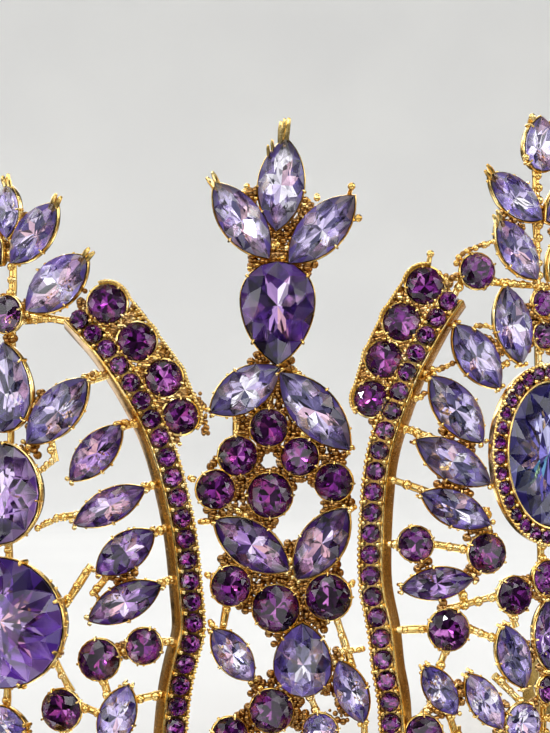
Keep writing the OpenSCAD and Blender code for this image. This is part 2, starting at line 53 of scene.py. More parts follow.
# Columns of the stone tables: name, cut, turn from the section's centre line,
# height, lean, length, width, colour
# ---- Tables
spire_stones = [
    ["top_centre_navette", "navette",  0.7, 92.4,    6, 13.2,  6.4, lilac],
    ["top_left_navette",   "navette", -3.8, 87.3,  -36, 13.0,  5.9, lilac],
    ["top_right_navette",  "navette",  5.3, 86.0,   45, 13.0,  6.1, lilac],
    ["pear",               "pear",     0.3, 74.3,  180, 14.4, 10.2, violet],
    ["left_leaf",          "navette", -3.4, 63.7, -123, 11.4,  5.8, lilac],
    ["right_leaf",         "navette",  4.5, 60.8,  138, 14.4,  6.2, lilac],
    ["upper_round",        "round",   -0.7, 58.5,    0,  5.1,  5.1, amethyst],
    ["left_round",         "round",   -4.2, 54.6,    0,  5.3,  5.3, amethyst],
    ["right_round",        "round",    2.8, 54.5,    0,  5.1,  5.1, amethyst],
    ["far_left_round",   "round",  -6.6, 50.0,    0,  5.2,  5.2, amethyst],
    ["middle_round",       "round",   -0.6, 49.2,    0,  6.1,  6.1, amethyst],
    ["far_right_round",    "round",    6.5, 51.0,    0,  5.1,  5.1, amethyst],
    ["left_wing",          "navette", -2.6, 42.4,  -56, 12.2,  5.8, violet],
    ["right_wing",         "navette",  5.2, 42.6,   36, 11.8,  5.8, violet],
    ["low_left_round",   "round",  -4.9, 36.9,    0,  5.3,  5.3, amethyst],
    ["low_middle_round",   "round",    0.1, 33.8,    0,  6.3,  6.3, amethyst],
    ["low_right_round",  "round",   5.9, 35.4,    0,  6.1,  6.1, amethyst]
]
spire_low_stones = [
    ["", "navette", -4.7, 27.6,  -38,  8.8, 4.5, lilac],
    ["", "pear",     3.1, 26.9,    0,  9.8, 7.8, lilac],
    ["", "navette",  8.3, 22.8,  -22,  8.8, 4.3, lilac],
    ["", "round",   -0.4, 20.0,    0,  5.8, 5.8, amethyst],
    ["", "round",    5.0, 17.4,    0,  4.6, 4.6, lilac],
    ["", "round",   -5.0, 16.8,    0,  4.8, 4.8, amethyst]
]
centre_half_stones = [
    ["", "navette",  -3.8, 72.7,  -12, 11.0, 5.6, lilac],
    ["", "navette",  -7.8, 68.2,  -36, 10.6, 5.5, lilac],
    ["", "navette", -10.0, 60.9,  -38, 11.4, 5.6, lilac],
    ["", "navette", -10.4, 53.8,  -60, 11.8, 5.2, lilac],
    ["", "navette", -10.2, 47.4,  -66, 10.4, 4.7, lilac],
    ["", "round",   -14.2, 42.7,    0,  4.6, 4.6, amethyst],
    ["", "round",    -7.0, 41.4,    0,  5.2, 5.2, amethyst],
    ["", "navette", -12.1, 37.4,  -98,  9.8, 4.2, violet],
    ["", "round",    -4.0, 35.6,    0,  5.0, 5.0, amethyst],
    ["", "round",   -11.0, 31.2,    0,  5.4, 5.4, amethyst],
    ["", "navette",  -4.2, 27.4,  -20,  9.0, 4.8, lilac],
    ["", "navette",  -7.4, 21.6,  -33,  8.8, 4.2, lilac],
    ["", "navette", -11.9, 23.2,  -33,  7.6, 4.0, lilac],
    ["", "round",   -13.5, 17.4,    0,  4.8, 4.8, amethyst],
    ["", "round",    -3.2, 18.4,    0,  5.2, 5.2, lilac]
]
centre_axis_stones = [
    ["", "round",   0, 71.4,   0,  3.6, 3.6, amethyst],
    ["", "round",   0, 76.0,   0,  3.6, 3.6, amethyst],
    ["", "round",   0, 37.8,   0,  4.6, 4.6, amethyst],
    ["", "navette", 0, 30.0,   0,  9.6, 4.6, violet],
    ["", "round",   0, 22.6,   0,  3.6, 3.6, amethyst]
]
centre_finial_stones = [
    ["", "navette", -3.2, 83.2,  -38, 10.0, 5.2, lilac],
    ["", "navette", -3.3, 90.6,  -54, 10.0, 5.2, lilac],
    ["", "round",   -7.7, 80.0,    0,  4.8, 4.8, amethyst]
]
centre_shoulder_stones = [
    ["", "round",  -13.1, 77.9,    0,  5.0, 5.0, amethyst],
    ["", "round",  -15.4, 72.9,    0,  5.0, 5.0, amethyst],
    ["", "round",  -17.2, 67.8,    0,  4.9, 4.9, amethyst],
    ["", "round",  -18.5, 62.4,    0,  4.7, 4.7, amethyst]
]
centre_big_stones = [
    ["oval",     "oval", 0, 54.8, 0, 19.6, 14.8, blue_violet],
    ["top_pear", "pear", 0, 98.6, 0,  7.8,  6.0, lilac]
]
side_half_stones = [
    ["", "navette",   6.2, 60.7,   45, 12.4, 6.0, lilac],
    ["", "navette",  10.3, 55.0,   43, 10.2, 4.8, violet],
    ["", "navette",  11.7, 47.8,   63, 10.8, 4.4, violet],
    ["", "navette",  13.3, 41.6,   54,  9.4, 4.9, violet],
    ["", "navette",  13.3, 34.9,   64, 10.8, 4.8, violet],
    ["", "round",    15.2, 29.0,    0,  4.7, 4.7, amethyst],
    ["", "round",    10.8, 27.2,    0,  5.4, 5.4, amethyst],
    ["", "round",     7.0, 20.4,    0,  5.4, 5.4, amethyst],
    ["", "navette",  12.6, 19.6,   20,  9.0, 4.8, lilac]
]
side_axis_stones = [
    ["", "round",   0, 74.4,   0,  5.2, 5.2, amethyst],
    ["", "navette", 0, 17.8,  90,  9.0, 5.0, lilac]
]
side_finial_stones = [
    ["", "navette",   6.0, 78.3,   51, 11.4, 6.4, lilac],
    ["", "navette",   3.3, 85.5,   41, 10.6, 5.5, lilac]
]
side_shoulder_stones = [
    ["", "round",    11.3, 75.4,    0,  5.2,  5.2, amethyst],
    ["", "round",    14.3, 70.2,    0,  5.1,  5.1, amethyst],
    ["", "round",    17.0, 65.2,    0,  4.9, 4.9, amethyst],
    ["", "round",    18.7, 60.0,    0,  4.7, 4.7, amethyst]
]
side_big_stones = [
    ["low_oval",    "oval",    0, 31.8, 90, 22.4, 17.6, violet],
    ["round",       "round",   0, 49.4,  0, 13.8, 13.8, violet],
    ["pear",        "pear",    0, 64.2,  0, 12.4,  9.4, lilac],
    ["top_navette", "navette", 0, 89.0,  0,  7.6,  4.0, lilac]
]
centre_strip = [
    [-10.2, 76.8], [-11.6, 74.2], [-13.1, 70.8], [-14.8, 66.4], [-16.5, 60.6],
    [-17.8, 55.0], [-18.4, 49.0], [-18.7, 42.0], [-18.6, 36.6], [-17.8, 31.0],
    [-17.4, 26.0], [-16.8, 21.0], [-16.6, 11.0]
]
side_strip = [
    [  7.8, 74.2], [  9.4, 72.0], [ 11.3, 69.2], [ 13.7, 64.6], [ 15.8, 59.6],
    [ 17.3, 54.6], [ 18.5, 48.6], [ 19.3, 43.0], [ 19.8, 36.8], [ 20.1, 31.0],
    [ 19.3, 26.6], [ 18.6, 21.6], [ 18.0, 11.0]
]
spire_links = [
    [ 0.3, 82.6,  0.3, 86.4], [-1.6, 84.0,  2.6, 83.4], [ 0.3, 66.6, 0.3, 68.6],
    [-4.2, 58.0, -4.2, 63.0], [ 2.8, 57.0,  4.6, 60.0], [-0.7, 61.0, -0.4, 64.8],
    [-2.4, 46.0, -5.6, 48.0], [ 6.6, 46.6,  6.6, 49.0], [-5.0, 39.0, -4.8, 41.8],
    [ 1.8, 37.0,  1.6, 41.0], [ 5.0, 37.4,  4.2, 40.0], [-5.2, 34.4, -5.6, 31.4],
    [ 0.8, 30.8,  2.4, 30.2], [ 6.6, 32.6,  8.0, 27.0], [-2.8, 24.8, -1.4, 22.6],
    [ 3.6, 22.4,  4.6, 19.4], [-2.6, 19.4, -4.0, 18.0], [-0.2, 18.0, -0.2, 12.2],
    [ 5.0, 15.4,  5.0, 12.2], [-5.0, 15.0, -5.0, 12.2], [ 9.5, 19.0,  9.5, 12.2]
]
centre_links = [
    [-17.0, 42.6, -14.0, 42.6], [-16.0, 31.0, -12.6, 31.2], [-14.0, 50.2, -17.0, 51.6],
    [-13.6, 57.6, -15.6, 58.6], [-12.4, 65.0, -13.6, 65.8], [ -9.6, 42.0, -12.4, 42.6],
    [-13.6, 15.4, -13.6, 12.2], [-13.8, 19.4, -12.8, 20.8], [ -3.2, 16.0,  -3.2, 12.2],
    [-7.0, 44.0, -6.6, 47.4], [ -8.8, 31.2,  -6.0, 29.8], [ -9.1, 34.6,  -9.4, 36.0],
    [-4.0, 33.4, -3.4, 31.4], [ -8.6, 34.6,  -6.0, 35.4], [-11.0, 28.8, -11.6, 26.8],
    [-5.8, 24.6, -5.0, 23.6], [-11.0, 20.4, -10.0, 16.0], [-10.0, 18.0, -10.0, 12.2], [-9.4, 79.4, -11.6, 78.6]
]
centre_axis_links = [
    [0, 66.0, 0, 70.0], [0, 73.0, 0, 74.6], [0, 77.6, 0, 95.6], [0, 39.8, 0, 44.0],
    [0, 34.6, 0, 36.0], [0, 23.6, 0, 25.6], [0, 21.0, 0, 12.2], [-3.6, 18.4, 3.6, 18.4],
    [-3.8, 35.4, 3.8, 35.4], [-3.4, 27.4, 3.4, 27.4], [-7.0, 79.0, -3.4, 78.6],
    [3.4, 78.6, 7.0, 79.0], [-3.4, 78.6, 3.4, 78.6], [-9.0, 79.0, -10.0, 76.6], [9.0, 79.0, 10.0, 76.6]
]
side_links = [
    [ 12.4, 58.4, 14.2, 59.2], [ 15.4, 50.4, 17.0, 51.0], [ 16.4, 44.2, 17.6, 45.0],
    [ 17.0, 37.4, 18.4, 38.0], [ 16.8, 29.4, 18.4, 29.4], [ 12.4, 28.0, 13.8, 28.6],
    [  7.6, 22.8,  6.8, 24.6], [  7.0, 18.0,  7.0, 12.2], [ 12.4, 15.6, 12.4, 12.2],
    [  9.2, 20.6, 11.2, 19.6], [  4.4, 73.8, 7.6, 73.0], [  4.6, 59.0,  2.6, 56.0],
    [  8.6, 51.6,  8.0, 54.0], [  6.4, 46.2,  8.4, 46.6], [  9.6, 39.6,  8.6, 37.6],
    [ 11.6, 38.6, 10.0, 36.0], [ 9.7, 74.5, 9.7, 72.1], [ 5.2, 56.2, 5.6, 54.0],
    [ 14.0, 21.6, 17.0, 22.4], [ 11.0, 24.8, 11.4, 23.0], [ 9.2, 64.8, 11.9, 66.0]
]
side_axis_links = [
    [0, 40.2, 0, 42.9], [0, 56.0, 0, 58.4], [0, 70.0, 0, 72.4], [0, 76.4, 0, 85.6],
    [0, 20.0, 0, 23.4], [0, 16.0, 0, 12.2], [-5.0, 73.6, 5.0, 73.6]
]
# ---- End of tables

# Short joins from the spire's cups to the strips beside it: turn and height of each end
spire_joins = [
    [-8.6, 51.3, -9.2, 51.6], [-7.0, 45.7, -8.1, 45.6], [-7.0, 38.2, -7.4, 38.4], [-6.7, 31.4, -7.0, 32.0],
    [ 7.9, 47.2,  8.6, 47.6], [ 8.1, 36.9,  8.4, 37.4], [ 6.9, 28.0,  9.4, 28.4]
]

# Chains of beads between the cups: turn and height of each point, from the panel's centre line
centre_chains = [
    [[-11.7, 79.6], [-10.6, 79.0], [-9.6, 79.6]], [[-11.0, 78.7], [-10.6, 77.4], [-10.4, 76.8]], [[-9.9, 81.0], [-9.0, 82.6], [-7.6, 83.5], [-5.6, 84.4]],
    [[-14.6, 65.2], [-13.0, 66.1], [-11.5, 66.6], [-10.1, 67.3]], [[-15.6, 61.8], [-14.2, 62.2], [-13.0, 63.2]],
    [[-17.0, 57.2], [-15.8, 57.7], [-14.4, 58.4]], [[-5.2, 66.9], [-4.2, 67.7]], [[-8.2, 71.8], [-7.6, 72.6], [-6.1, 72.4]]
]
side_chains = [
    [[9.1, 65.4], [10.0, 66.2], [10.8, 65.5], [11.9, 66.0]], [[12.3, 58.9], [13.2, 59.4], [14.0, 58.7], [14.8, 59.0]],
    [[5.7, 54.0], [4.8, 53.1], [3.8, 52.6]], [[6.3, 46.3], [5.2, 45.4], [3.9, 44.7]], [[10.1, 36.1], [10.8, 35.0]]
]


def wave(t):
    return math.cos(math.radians(360 * t / PITCH)) - 0.1 * math.cos(math.radians(720 * t / PITCH))


def radius(t):
    return PLAN_R + SCALLOP * (-1.1 if abs(t) > 1.5 * PITCH else wave(t))


def tangent(t):
    a, b = radius(t - 0.1), radius(t + 0.1)
    p, q = math.radians(t - 0.1), math.radians(t + 0.1)
    x, y = b * math.sin(q) - a * math.sin(p), -b * math.cos(q) + a * math.cos(p)
    n = math.hypot(x, y)
    return x / n, y / n


def surface(t, z, out=0.0):
    """Point at an angle from the front and a height, moved out along the normal."""
    ex, ey = tangent(t)
    a = math.radians(t)
    return Vector((radius(t) * math.sin(a) + out * ey, -radius(t) * math.cos(a) - out * ex + SHIFT, z))


def seat(t, z, lean=0.0, out=0.0):
    """Maps a stone's own frame (X across, Y along its length, Z outwards) to the row."""
    ex, ey = tangent(t)
    p = surface(t, z, out)
    c, s = math.cos(math.radians(-lean)), math.sin(math.radians(-lean))
    X, Y, Z = Vector((ex, ey, 0)), Vector((0, 0, 1)), Vector((ey, -ex, 0))

    def place(q):
        x, y = q[0] * c - q[1] * s, q[0] * s + q[1] * c
        return p + X * x + Y * y + Z * q[2]

    def back(v):
        v = v - p
        x, y = v.dot(X), v.dot(Y)
        return x * c + y * s, y * c - x * s, v.dot(Z)

    place.back = back
    return place


def crown_h(w):
    return 0.55 + 0.11 * w


def pavilion_h(w):
    return 0.75 + 0.17 * w


def stand(w):
    return 1.2 if w > 12 else 0.6 if w > 9 else 0.3


# ---------------------------------------------------------------------------
# Mesh making
# ---------------------------------------------------------------------------
class Shape:
    """Gathers one piece's vertices (millimetres) and faces."""

    def __init__(self):
        self.v, self.f, self.m, self.facet, self.ring, self.smooth = [], [], [], [], [], []

    # Besides the facet value, each face carries one that marks a stone's rim facets and, on metal, the faces darkened
    # with painted shade.
    def add(self, verts, faces, mat=0, facet=0.5, ring=0.0, smooth=True):
        base = len(self.v)
        self.v.extend(tuple(q) for q in verts)
        for k, f in enumerate(faces):
            self.f.append([base + i for i in f])
            self.m.append(mat)
            self.facet.append(facet[k] if isinstance(facet, list) else facet)
            self.ring.append(ring[k] if isinstance(ring, list) else ring)
            self.smooth.append(smooth)

    def piece(self, name, nodes, slot, materials, mirror=False, sharp=38.0):
        side = -1.0 if mirror else 1.0
        me = bpy.data.meshes.new(name)
        verts = [(side * x * 0.001, y * 0.001, z * 0.001) for x, y, z in self.v]
        faces = [f[::-1] for f in self.f] if mirror else self.f
        me.from_pydata(verts, [], faces)
        for mt in materials:
            me.materials.append(mt)
        me.polygons.foreach_set("material_index", self.m)
        me.polygons.foreach_set("use_smooth", self.smooth)
        for key, values in (("facet", self.facet), ("ring", self.ring)):
            at = me.attributes.new(key, "FLOAT", "FACE")
            at.data.foreach_set("value", values)
        me.update()
        if any(self.smooth):
            me.set_sharp_from_angle(angle=math.radians(sharp))
        ob = bpy.data.objects.new(name, me)
        bpy.context.scene.collection.objects.link(ob)
        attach(ob, "root")
        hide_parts(*nodes)
        return ob


def loft(S, rings, closed=True, cap0=False, cap1=False, **kw):
    """Skin between rings of equal length; rings run round the shape."""
    m = len(rings[0])
    verts = [q for r in rings for q in r]
    faces = []
    for i in range(len(rings) - 1):
        for j in range(m if closed else m - 1):
            a, b = i * m + j, i * m + (j + 1) % m
            faces.append([a, b, b + m, a + m])
    if cap0:
        faces.append(list(range(m))[::-1])
    if cap1:
        faces.append([(len(rings) - 1) * m + j for j in range(m)])
    S.add(verts, faces, **kw)


def ball_rows(lat, lon):
    rows = []
    for i in range(1, lat):
        a = math.pi * i / lat
        rows.append([(math.sin(a) * math.cos(2 * math.pi * j / lon), math.sin(a) * math.sin(2 * math.pi * j / lon), math.cos(a)) for j in range(lon)])
    verts = [(0, 0, 1)] + [q for r in rows for q in r] + [(0, 0, -1)]
    faces = [[0, 1 + j, 1 + (j + 1) % lon] for j in range(lon)]
    for i in range(lat - 2):
        for j in range(lon):
            a, b = 1 + i * lon + j, 1 + i * lon + (j + 1) % lon
            faces.append([a, a + lon, b + lon, b])
    last = len(verts) - 1
    k = 1 + (lat - 2) * lon
    faces += [[last, k + (j + 1) % lon, k + j] for j in range(lon)]
    return verts, faces


SMALL_BALL = ball_rows(5, 7)
BALL = ball_rows(7, 10)


def ball(S, p, r, small=True, squash=1.0, axis=None, share=False):
    verts, faces = SMALL_BALL if small else BALL
    if axis is None:
        # share=True marks the bead for painted shade, darkened as metal between the cups
        S.add([(p[0] + r * x, p[1] + r * y, p[2] + r * z) for x, y, z in verts], faces, ring=1.0 if share else 0.0)
    else:
        n = axis.normalized()
        u = n.orthogonal().normalized()
        w = n.cross(u)
        S.add([p + (u * x + w * y + n * (z * squash)) * r for x, y, z in verts], faces)


def tube(S, pts, radii, sides=8, tip=True):
    """Round rod through points, with a rounded end."""
    pts = [Vector(p) for p in pts]
    rings = []
    u = None
    for i, p in enumerate(pts):
        d = (pts[min(i + 1, len(pts) - 1)] - pts[max(i - 1, 0)]).normalized()
        if u is None:
            u = d.orthogonal().normalized()
        else:
            u = (u - d * u.dot(d)).normalized()
        w = d.cross(u)
        r = radii[i]
        rings.append([p + (u * math.cos(2 * math.pi * j / sides) + w * math.sin(2 * math.pi * j / sides)) * r for j in range(sides)])
        if i == len(pts) - 1 and tip:
            for k in (0.5, 0.87):
                rr, h = r * math.sqrt(1 - k * k), r * k
                rings.append([p + d * h + (u * math.cos(2 * math.pi * j / sides) + w * math.sin(2 * math.pi * j / sides)) * rr for j in range(sides)])
    loft(S, rings, cap0=True, cap1=True)


# ---------------------------------------------------------------------------
# Outlines of the cuts
# ---------------------------------------------------------------------------
_cache = {}


def outline(cut, l, w, g, n):
    """n points round a cut's outline, moved out by g, anticlockwise from its top."""
    key = (cut, round(l, 3), round(w, 3), round(g, 3), n)
    if key in _cache:
        return _cache[key]
    if cut in ("round", "oval"):
        a, b = w / 2 + g, l / 2 + g
        pts = [(-a * math.sin(2 * math.pi * i / n), b * math.cos(2 * math.pi * i / n)) for i in range(n)]
        _cache[key] = pts
        return pts
    if cut == "navette":
        L, W = l + 2.6 * g, w + 2 * g
        r = (L * L + W * W) / (4 * W)
        d, h = r - W / 2, math.asin(L / 2 / r)
        dense = [(d - r * math.cos(h - 2 * h * i / 200), r * math.sin(h - 2 * h * i / 200)) for i in range(200)]
        dense += [(-d + r * math.cos(-h + 2 * h * i / 200), r * math.sin(-h + 2 * h * i / 200)) for i in range(200)]
    else:  # pear, its point upwards
        L, W = l + 2.4 * g, w + 2 * g
        r = W / 2
        c, q = -(l / 2 - w / 2), L - W / 2
        k = (q * q + W * W / 4) / W
        h = math.asin(min(1.0, q / k))
        dense = [(k - r - k * math.cos(h - h * i / 150), c + k * math.sin(h - h * i / 150)) for i in range(150)]
        dense += [(-r * math.cos(math.pi * i / 150), c - r * math.sin(math.pi * i / 150)) for i in range(150)]
        dense += [(r - k + k * math.cos(h * i / 150), c + k * math.sin(h * i / 150)) for i in range(150)]
    m = len(dense)
    run = [0.0]
    for i in range(m):
        run.append(run[-1] + math.dist(dense[i], dense[(i + 1) % m]))
    pts, j = [], 0
    for i in range(n):
        want = run[-1] * i / n
        while run[j + 1] < want:
            j += 1
        f = (want - run[j]) / (run[j + 1] - run[j])
        a, b = dense[j], dense[(j + 1) % m]
        pts.append((a[0] + f * (b[0] - a[0]), a[1] + f * (b[1] - a[1])))
    _cache[key] = pts
    return pts


# ---------------------------------------------------------------------------
# Stones: a faceted glass crown over a foiled pavilion
# ---------------------------------------------------------------------------
def gem(S, cut, l, w, place, rnd, glass, foil, n=16, small=False, tone=1.0):
    P = outline(cut, l, w, 0.0, n)
    c, p = crown_h(w), pavilion_h(w) * 0.92
    g = 0.12 if w > 3 else 0.06
    tx, ty = (0.54, 0.58) if cut != "navette" else (0.40, 0.52)
    mx, my = (0.79, 0.81) if cut != "navette" else (0.73, 0.79)
    if small:
        c, p, tx, ty = 0.24 * w, 0.265 * w, 0.55, 0.55
    cy = -0.08 * l if cut == "pear" else 0.0

    def at(q, sx, sy, z):
        return (q[0] * sx, cy + (q[1] - cy) * sy, z)

    h = n // 2
    V = [place(at(P[2 * k], tx, ty, c)) for k in range(h)]
    V += [place(at(P[(2 * k + 1) % n], mx, my, g + (c - g) * 0.62)) for k in range(h)]
    V += [place((q[0], q[1], g)) for q in P]
    T, M, G = 0, h, 2 * h
    faces, facet, ring = [[T + k for k in range(h)]], [0.5], [0.0]

    def put(f, r):
        faces.append(f)
        facet.append(rnd.random() ** tone)
        ring.append(r)

    for k in range(h):
        put([T + k, M + k, T + (k + 1) % h], 0.2)
        put([T + k, M + (k - 1) % h, G + 2 * k, M + k], 0.5)
        put([M + k, G + 2 * k, G + 2 * k + 1], 1.0)
        put([M + k, G + 2 * k + 1, G + (2 * k + 2) % n], 1.0)
    S.add(V, faces, mat=glass, facet=facet, ring=ring, smooth=False)
    # girdle
    V = [place((q[0], q[1], g)) for q in P] + [place((q[0], q[1], -g)) for q in P]
    S.add(V, [[j, n + j, n + (j + 1) % n, (j + 1) % n] for j in range(n)], mat=glass, ring=1.0, smooth=False)
    # pavilion: main facets between two rings of corners
    V = [place((q[0], q[1], -g)) for q in P]
    V += [place(at(P[(2 * k + 1) % n], 0.70, 0.70, -g - (p - g) * 0.36)) for k in range(h)]
    V += [place(at(P[2 * k], 0.34, 0.38, -g - (p - g) * 0.72)) for k in range(h)]
    V += [place((0, cy, -p))]
    G, M, R, C = 0, n, n + h, n + 2 * h
    faces, facet, ring = [], [], []
    for k in range(h):
        put([G + 2 * k, M + (k - 1) % h, R + k, M + k], 0.35)
        put([M + k, R + k, C, R + (k + 1) % h], 0.0)
        put([G + 2 * k, M + k, G + 2 * k + 1], 1.0)
        put([G + 2 * k + 1, M + k, G + (2 * k + 2) % n], 1.0)
    S.add(V, faces, mat=foil, facet=facet, ring=ring, smooth=False)


# ---------------------------------------------------------------------------
# Metal
# ---------------------------------------------------------------------------
def claw(S, place, cut, l, w, u, height=0.42, r=0.2, low=-0.8, reach=-0.06, n=96):
    """A prong that rises beside the stone and bends over its edge."""
    i = int(round(u * n)) % n

    def at(g, z):
        q = outline(cut, l, w, g, n)[i]
        return place((q[0], q[1], z))

    tube(S, [at(0.30, low), at(0.32, -0.15), at(0.22, height * 0.6), at(reach, height)], [r * 1.1, r, r * 0.95, r * 0.85], sides=7)


def spike(S, place, l, side, lean, length, r=0.40, start=-0.6):
    """A thick short prong at the free tip of a navette, cast in line with it."""
    y = l / 2
    a = math.radians(lean)
    p0 = (side * 0.36, y + start - 0.6, -0.8)
    p1 = (side * 0.44, y + start + 0.4, -0.2)
    p2 = (side * 0.46 + math.sin(a) * length * 0.6, y + start + 0.5 + math.cos(a) * length * 0.6, 0.2)
    p3 = (side * 0.46 + math.sin(a) * length, y + start + 0.5 + math.cos(a) * length, 0.3)
    tube(S, [place(p0), place(p1), place(p2), place(p3)], [r * 1.1, r * 1.1, r, r * 0.72], sides=9)


def ball_prong(S, place, x, y, z, r):
    tube(S, [place((x * 0.72, y * 0.86, -0.9)), place((x * 0.94, y * 0.96, -0.2)), place((x, y, z))], [0.36, 0.32, 0.3], sides=7)
    ball(S, place((x, y, z + 0.1)), r, small=False)


def tip_balls(S, place, l, end, rnd):
    """Two small ball prongs side by side on a leaf's tip."""
    for side in (-1, 1):
        x, y = side * rnd.uniform(0.44, 0.54), end * (l / 2 + rnd.uniform(0.05, 0.2))
        tube(S, [place((x, y + end * 0.15, -0.9)), place((x, y, 0.15))], [0.26, 0.22], sides=7)
        ball(S, place((x, y - end * 0.08, 0.26)), rnd.uniform(0.32, 0.40))


def cup(S, cut, l, w, place, edge=0.0):
    """A closed-backed cast cup whose wall follows the stone's outline."""
    d = pavilion_h(w) + 0.7
    n = 20 if cut == "round" and w < 8 else 28 if w < 9 else 48
    e = edge
    t = 0.20 * w
    a, b = (0.20, 0.22) if cut != "round" else (0.27, 0.28)
    rows = [(-d, -0.8 * t - 0.7), (-d, -0.8 * t - 0.12), (-d + 0.15, -0.8 * t + 0.12), (-0.62 * d - 0.2, -0.30 * t + 0.02 + e), (-1.05, 0.14 + e),
            (-0.70, a + e), (-0.42, b + e), (-0.28, 0.8 * a + e), (-0.20, 0.10 + 0.5 * e), (-0.26, 0.03), (-0.6, -0.02)]
    rings = []
    for z, g in rows:
        rings.append([place((x, y, z)) for x, y in outline(cut, l, w, g, n)])
    # the lower walls are in shade between the cups
    shade = [0.9, 0.9, 0.8, 0.55, 0.3] + [0.0] * (len(rows) - 6)
    loft(S, rings, cap0=True, ring=[v for v in shade for _ in range(n)] + [0.9])


def granules(S, cut, l, w, place, rnd, share=0.3, low=-1.0, high=-0.45):
    """Small cast beads along the foot of a cup."""
    n = 96
    P = outline(cut, l, w, 0.20, n)
    per = sum(math.dist(P[i], P[i - 1]) for i in range(n))
    m = max(6, int(per / 0.9))
    off = rnd.random()
    for k in range(m):
        if rnd.random() > share:
            continue
        x, y = P[int((k + off + rnd.uniform(-0.25, 0.25)) / m * n) % n]
        ball(S, place((x, y, rnd.uniform(low, high))), rnd.uniform(0.18, 0.28))


def outline_depth(P, x, y):
    """How far inside an outline a point is; negative outside."""
    d, inside = 99.0, False
    for i in range(len(P)):
        (ax, ay), (bx, by) = P[i - 1], P[i]
        ex, ey = bx - ax, by - ay
        f = max(0.0, min(1.0, ((x - ax) * ex + (y - ay) * ey) / (ex * ex + ey * ey)))
        d = min(d, math.hypot(x - ax - f * ex, y - ay - f * ey))
        if (ay > y) != (by > y) and x < ax + (y - ay) * ex / (by - ay):
            inside = not inside
    return d if inside else -d


def webs(S, rows, rnd, near, far, span, step=0.56, low=0.0):
    """Cast metal that fills the narrow places between cups, as beads over a web behind them.

    A spot is filled if its nearest cup is closer than near, the next one closer than far and both
    together closer than span."""
    spots = {}
    dt = math.degrees(step / PLAN_R)
    for s in rows:
        P = outline(s[1], s[5], s[6], 0.1, 32)
        place = seat_of(s)
        big = max(s[5], s[6]) / 2 + far + 0.2
        k = math.degrees(1.0 / radius(s[8]))
        for i in range(int((s[8] - big * k) // dt), int((s[8] + big * k) // dt) + 2):
            for j in range(int((s[3] - big) // step), int((s[3] + big) // step) + 2):
                t, z = i * dt, j * step
                v = surface(t, z, stand(s[6]) * 0.4)
                x, y, _ = place.back(v)
                if math.hypot(x, y) > big:
                    continue
                d = -outline_depth(P, x, y)
                if d < far:
                    spots.setdefault((i, j), []).append(d)
    for (i, j), ds in sorted(spots.items()):
        ds.sort()
        if len(ds) < 2 or ds[0] < 0.08 or ds[0] > near or ds[1] > far or ds[0] + ds[1] > span or j * step < low:
            continue
        t, z = i * dt + rnd.uniform(-0.17, 0.17), j * step + rnd.uniform(-0.22, 0.22)
        r = rnd.choice((0.24, 0.28, 0.33, 0.40, 0.50))
        # these beads carry painted shade
        ball(S, surface(t, z, rnd.uniform(-0.75, -0.25) - 0.3 * max(0.0, r - 0.35)), r, share=True)
        if (i + j) % 2 == 0:
            ball(S, surface(t, z, -1.35), 0.62, share=True)


def blend(a, b, c, d, u):
    return tuple(0.5 * (2 * q + (r - p) * u + (2 * p - 5 * q + 4 * r - s) * u * u + (3 * q - p - 3 * r + s) * u ** 3) for p, q, r, s in zip(a, b, c, d))


def route(rows, k):
    m = len(rows) - 1
    out = [blend(rows[max(i - 1, 0)], rows[i], rows[i + 1], rows[min(i + 2, m)], j / k) for i in range(m) for j in range(k)]
    return out + [tuple(rows[m])]


def strip_route(rows, axis, mirror, bottom, k=6):
    pts = [(-p[0], p[1]) if mirror else tuple(p) for p in rows]
    pts[-1] = (pts[-1][0], bottom)
    return [(axis + t, z) for t, z in route(pts, k)]


def strip_frames(pts, side):
    """Place, direction to the panel's centre and outward normal at each point."""
    xyz = [surface(t, z) for t, z in pts]
    out = []
    for i, (t, z) in enumerate(pts):
        d = (xyz[min(i + 1, len(pts) - 1)] - xyz[max(i - 1, 0)]).normalized()
        if i == len(pts) - 1:
            d = Vector((0, 0, -1))
        ex, ey = tangent(t)
        o = Vector((ey, -ex, 0))
        out.append((xyz[i], side * o.cross(d), o))
    return out


STRIP_PROFILE = [(-1.45, -2.1), (2.55, -2.1), (2.72, -2.0), (2.70, -1.75), (1.80, 0.12), (1.68, 0.32), (1.52, 0.38), (1.38, 0.32),
                 (1.28, 0.14), (1.22, -0.55), (-1.22, -0.55), (-1.26, 0.14), (-1.34, 0.30), (-1.46, 0.36), (-1.57, 0.28),
                 (-1.64, 0.08), (-1.66, -1.9)]


def strip(S, rows, axis, mirror, side, rnd):
    frames = strip_frames(strip_route(rows, axis, mirror, BAND_H + 0.1), side)
    rings = []
    for p, a, o in frames:
        r = [p + a * q[0] + o * q[1] for q in STRIP_PROFILE]
        rings.append(r if side > 0 else r[::-1])
    m = len(STRIP_PROFILE)
    # painted shade on the bevel (faces 1 to 3) and on the channel floor (faces 8 to 10)
    shade = [0.8 if j in (1, 2, 3) else 0.75 if j in (8, 9, 10) else 0.0 for j in range(m)]
    if side < 0:
        shade = [shade[(m - 2 - j) % m] for j in range(m)]
    loft(S, rings, cap0=True, cap1=True, ring=shade * (len(rings) - 1) + [0.0, 0.0])
    # milgrain along the outer wall
    run, last = 0.0, None
    for (p, a, o), (q, _, _) in zip(frames, frames[1:]):
        step = (q - p).length
        run += step
        while run >= 0.78:
            run -= 0.78
            x = q - (q - p).normalized() * run
            if x.z > BAND_H + 0.6:
                ball(S, x - a * 1.50 + o * 0.32, rnd.uniform(0.26, 0.34))


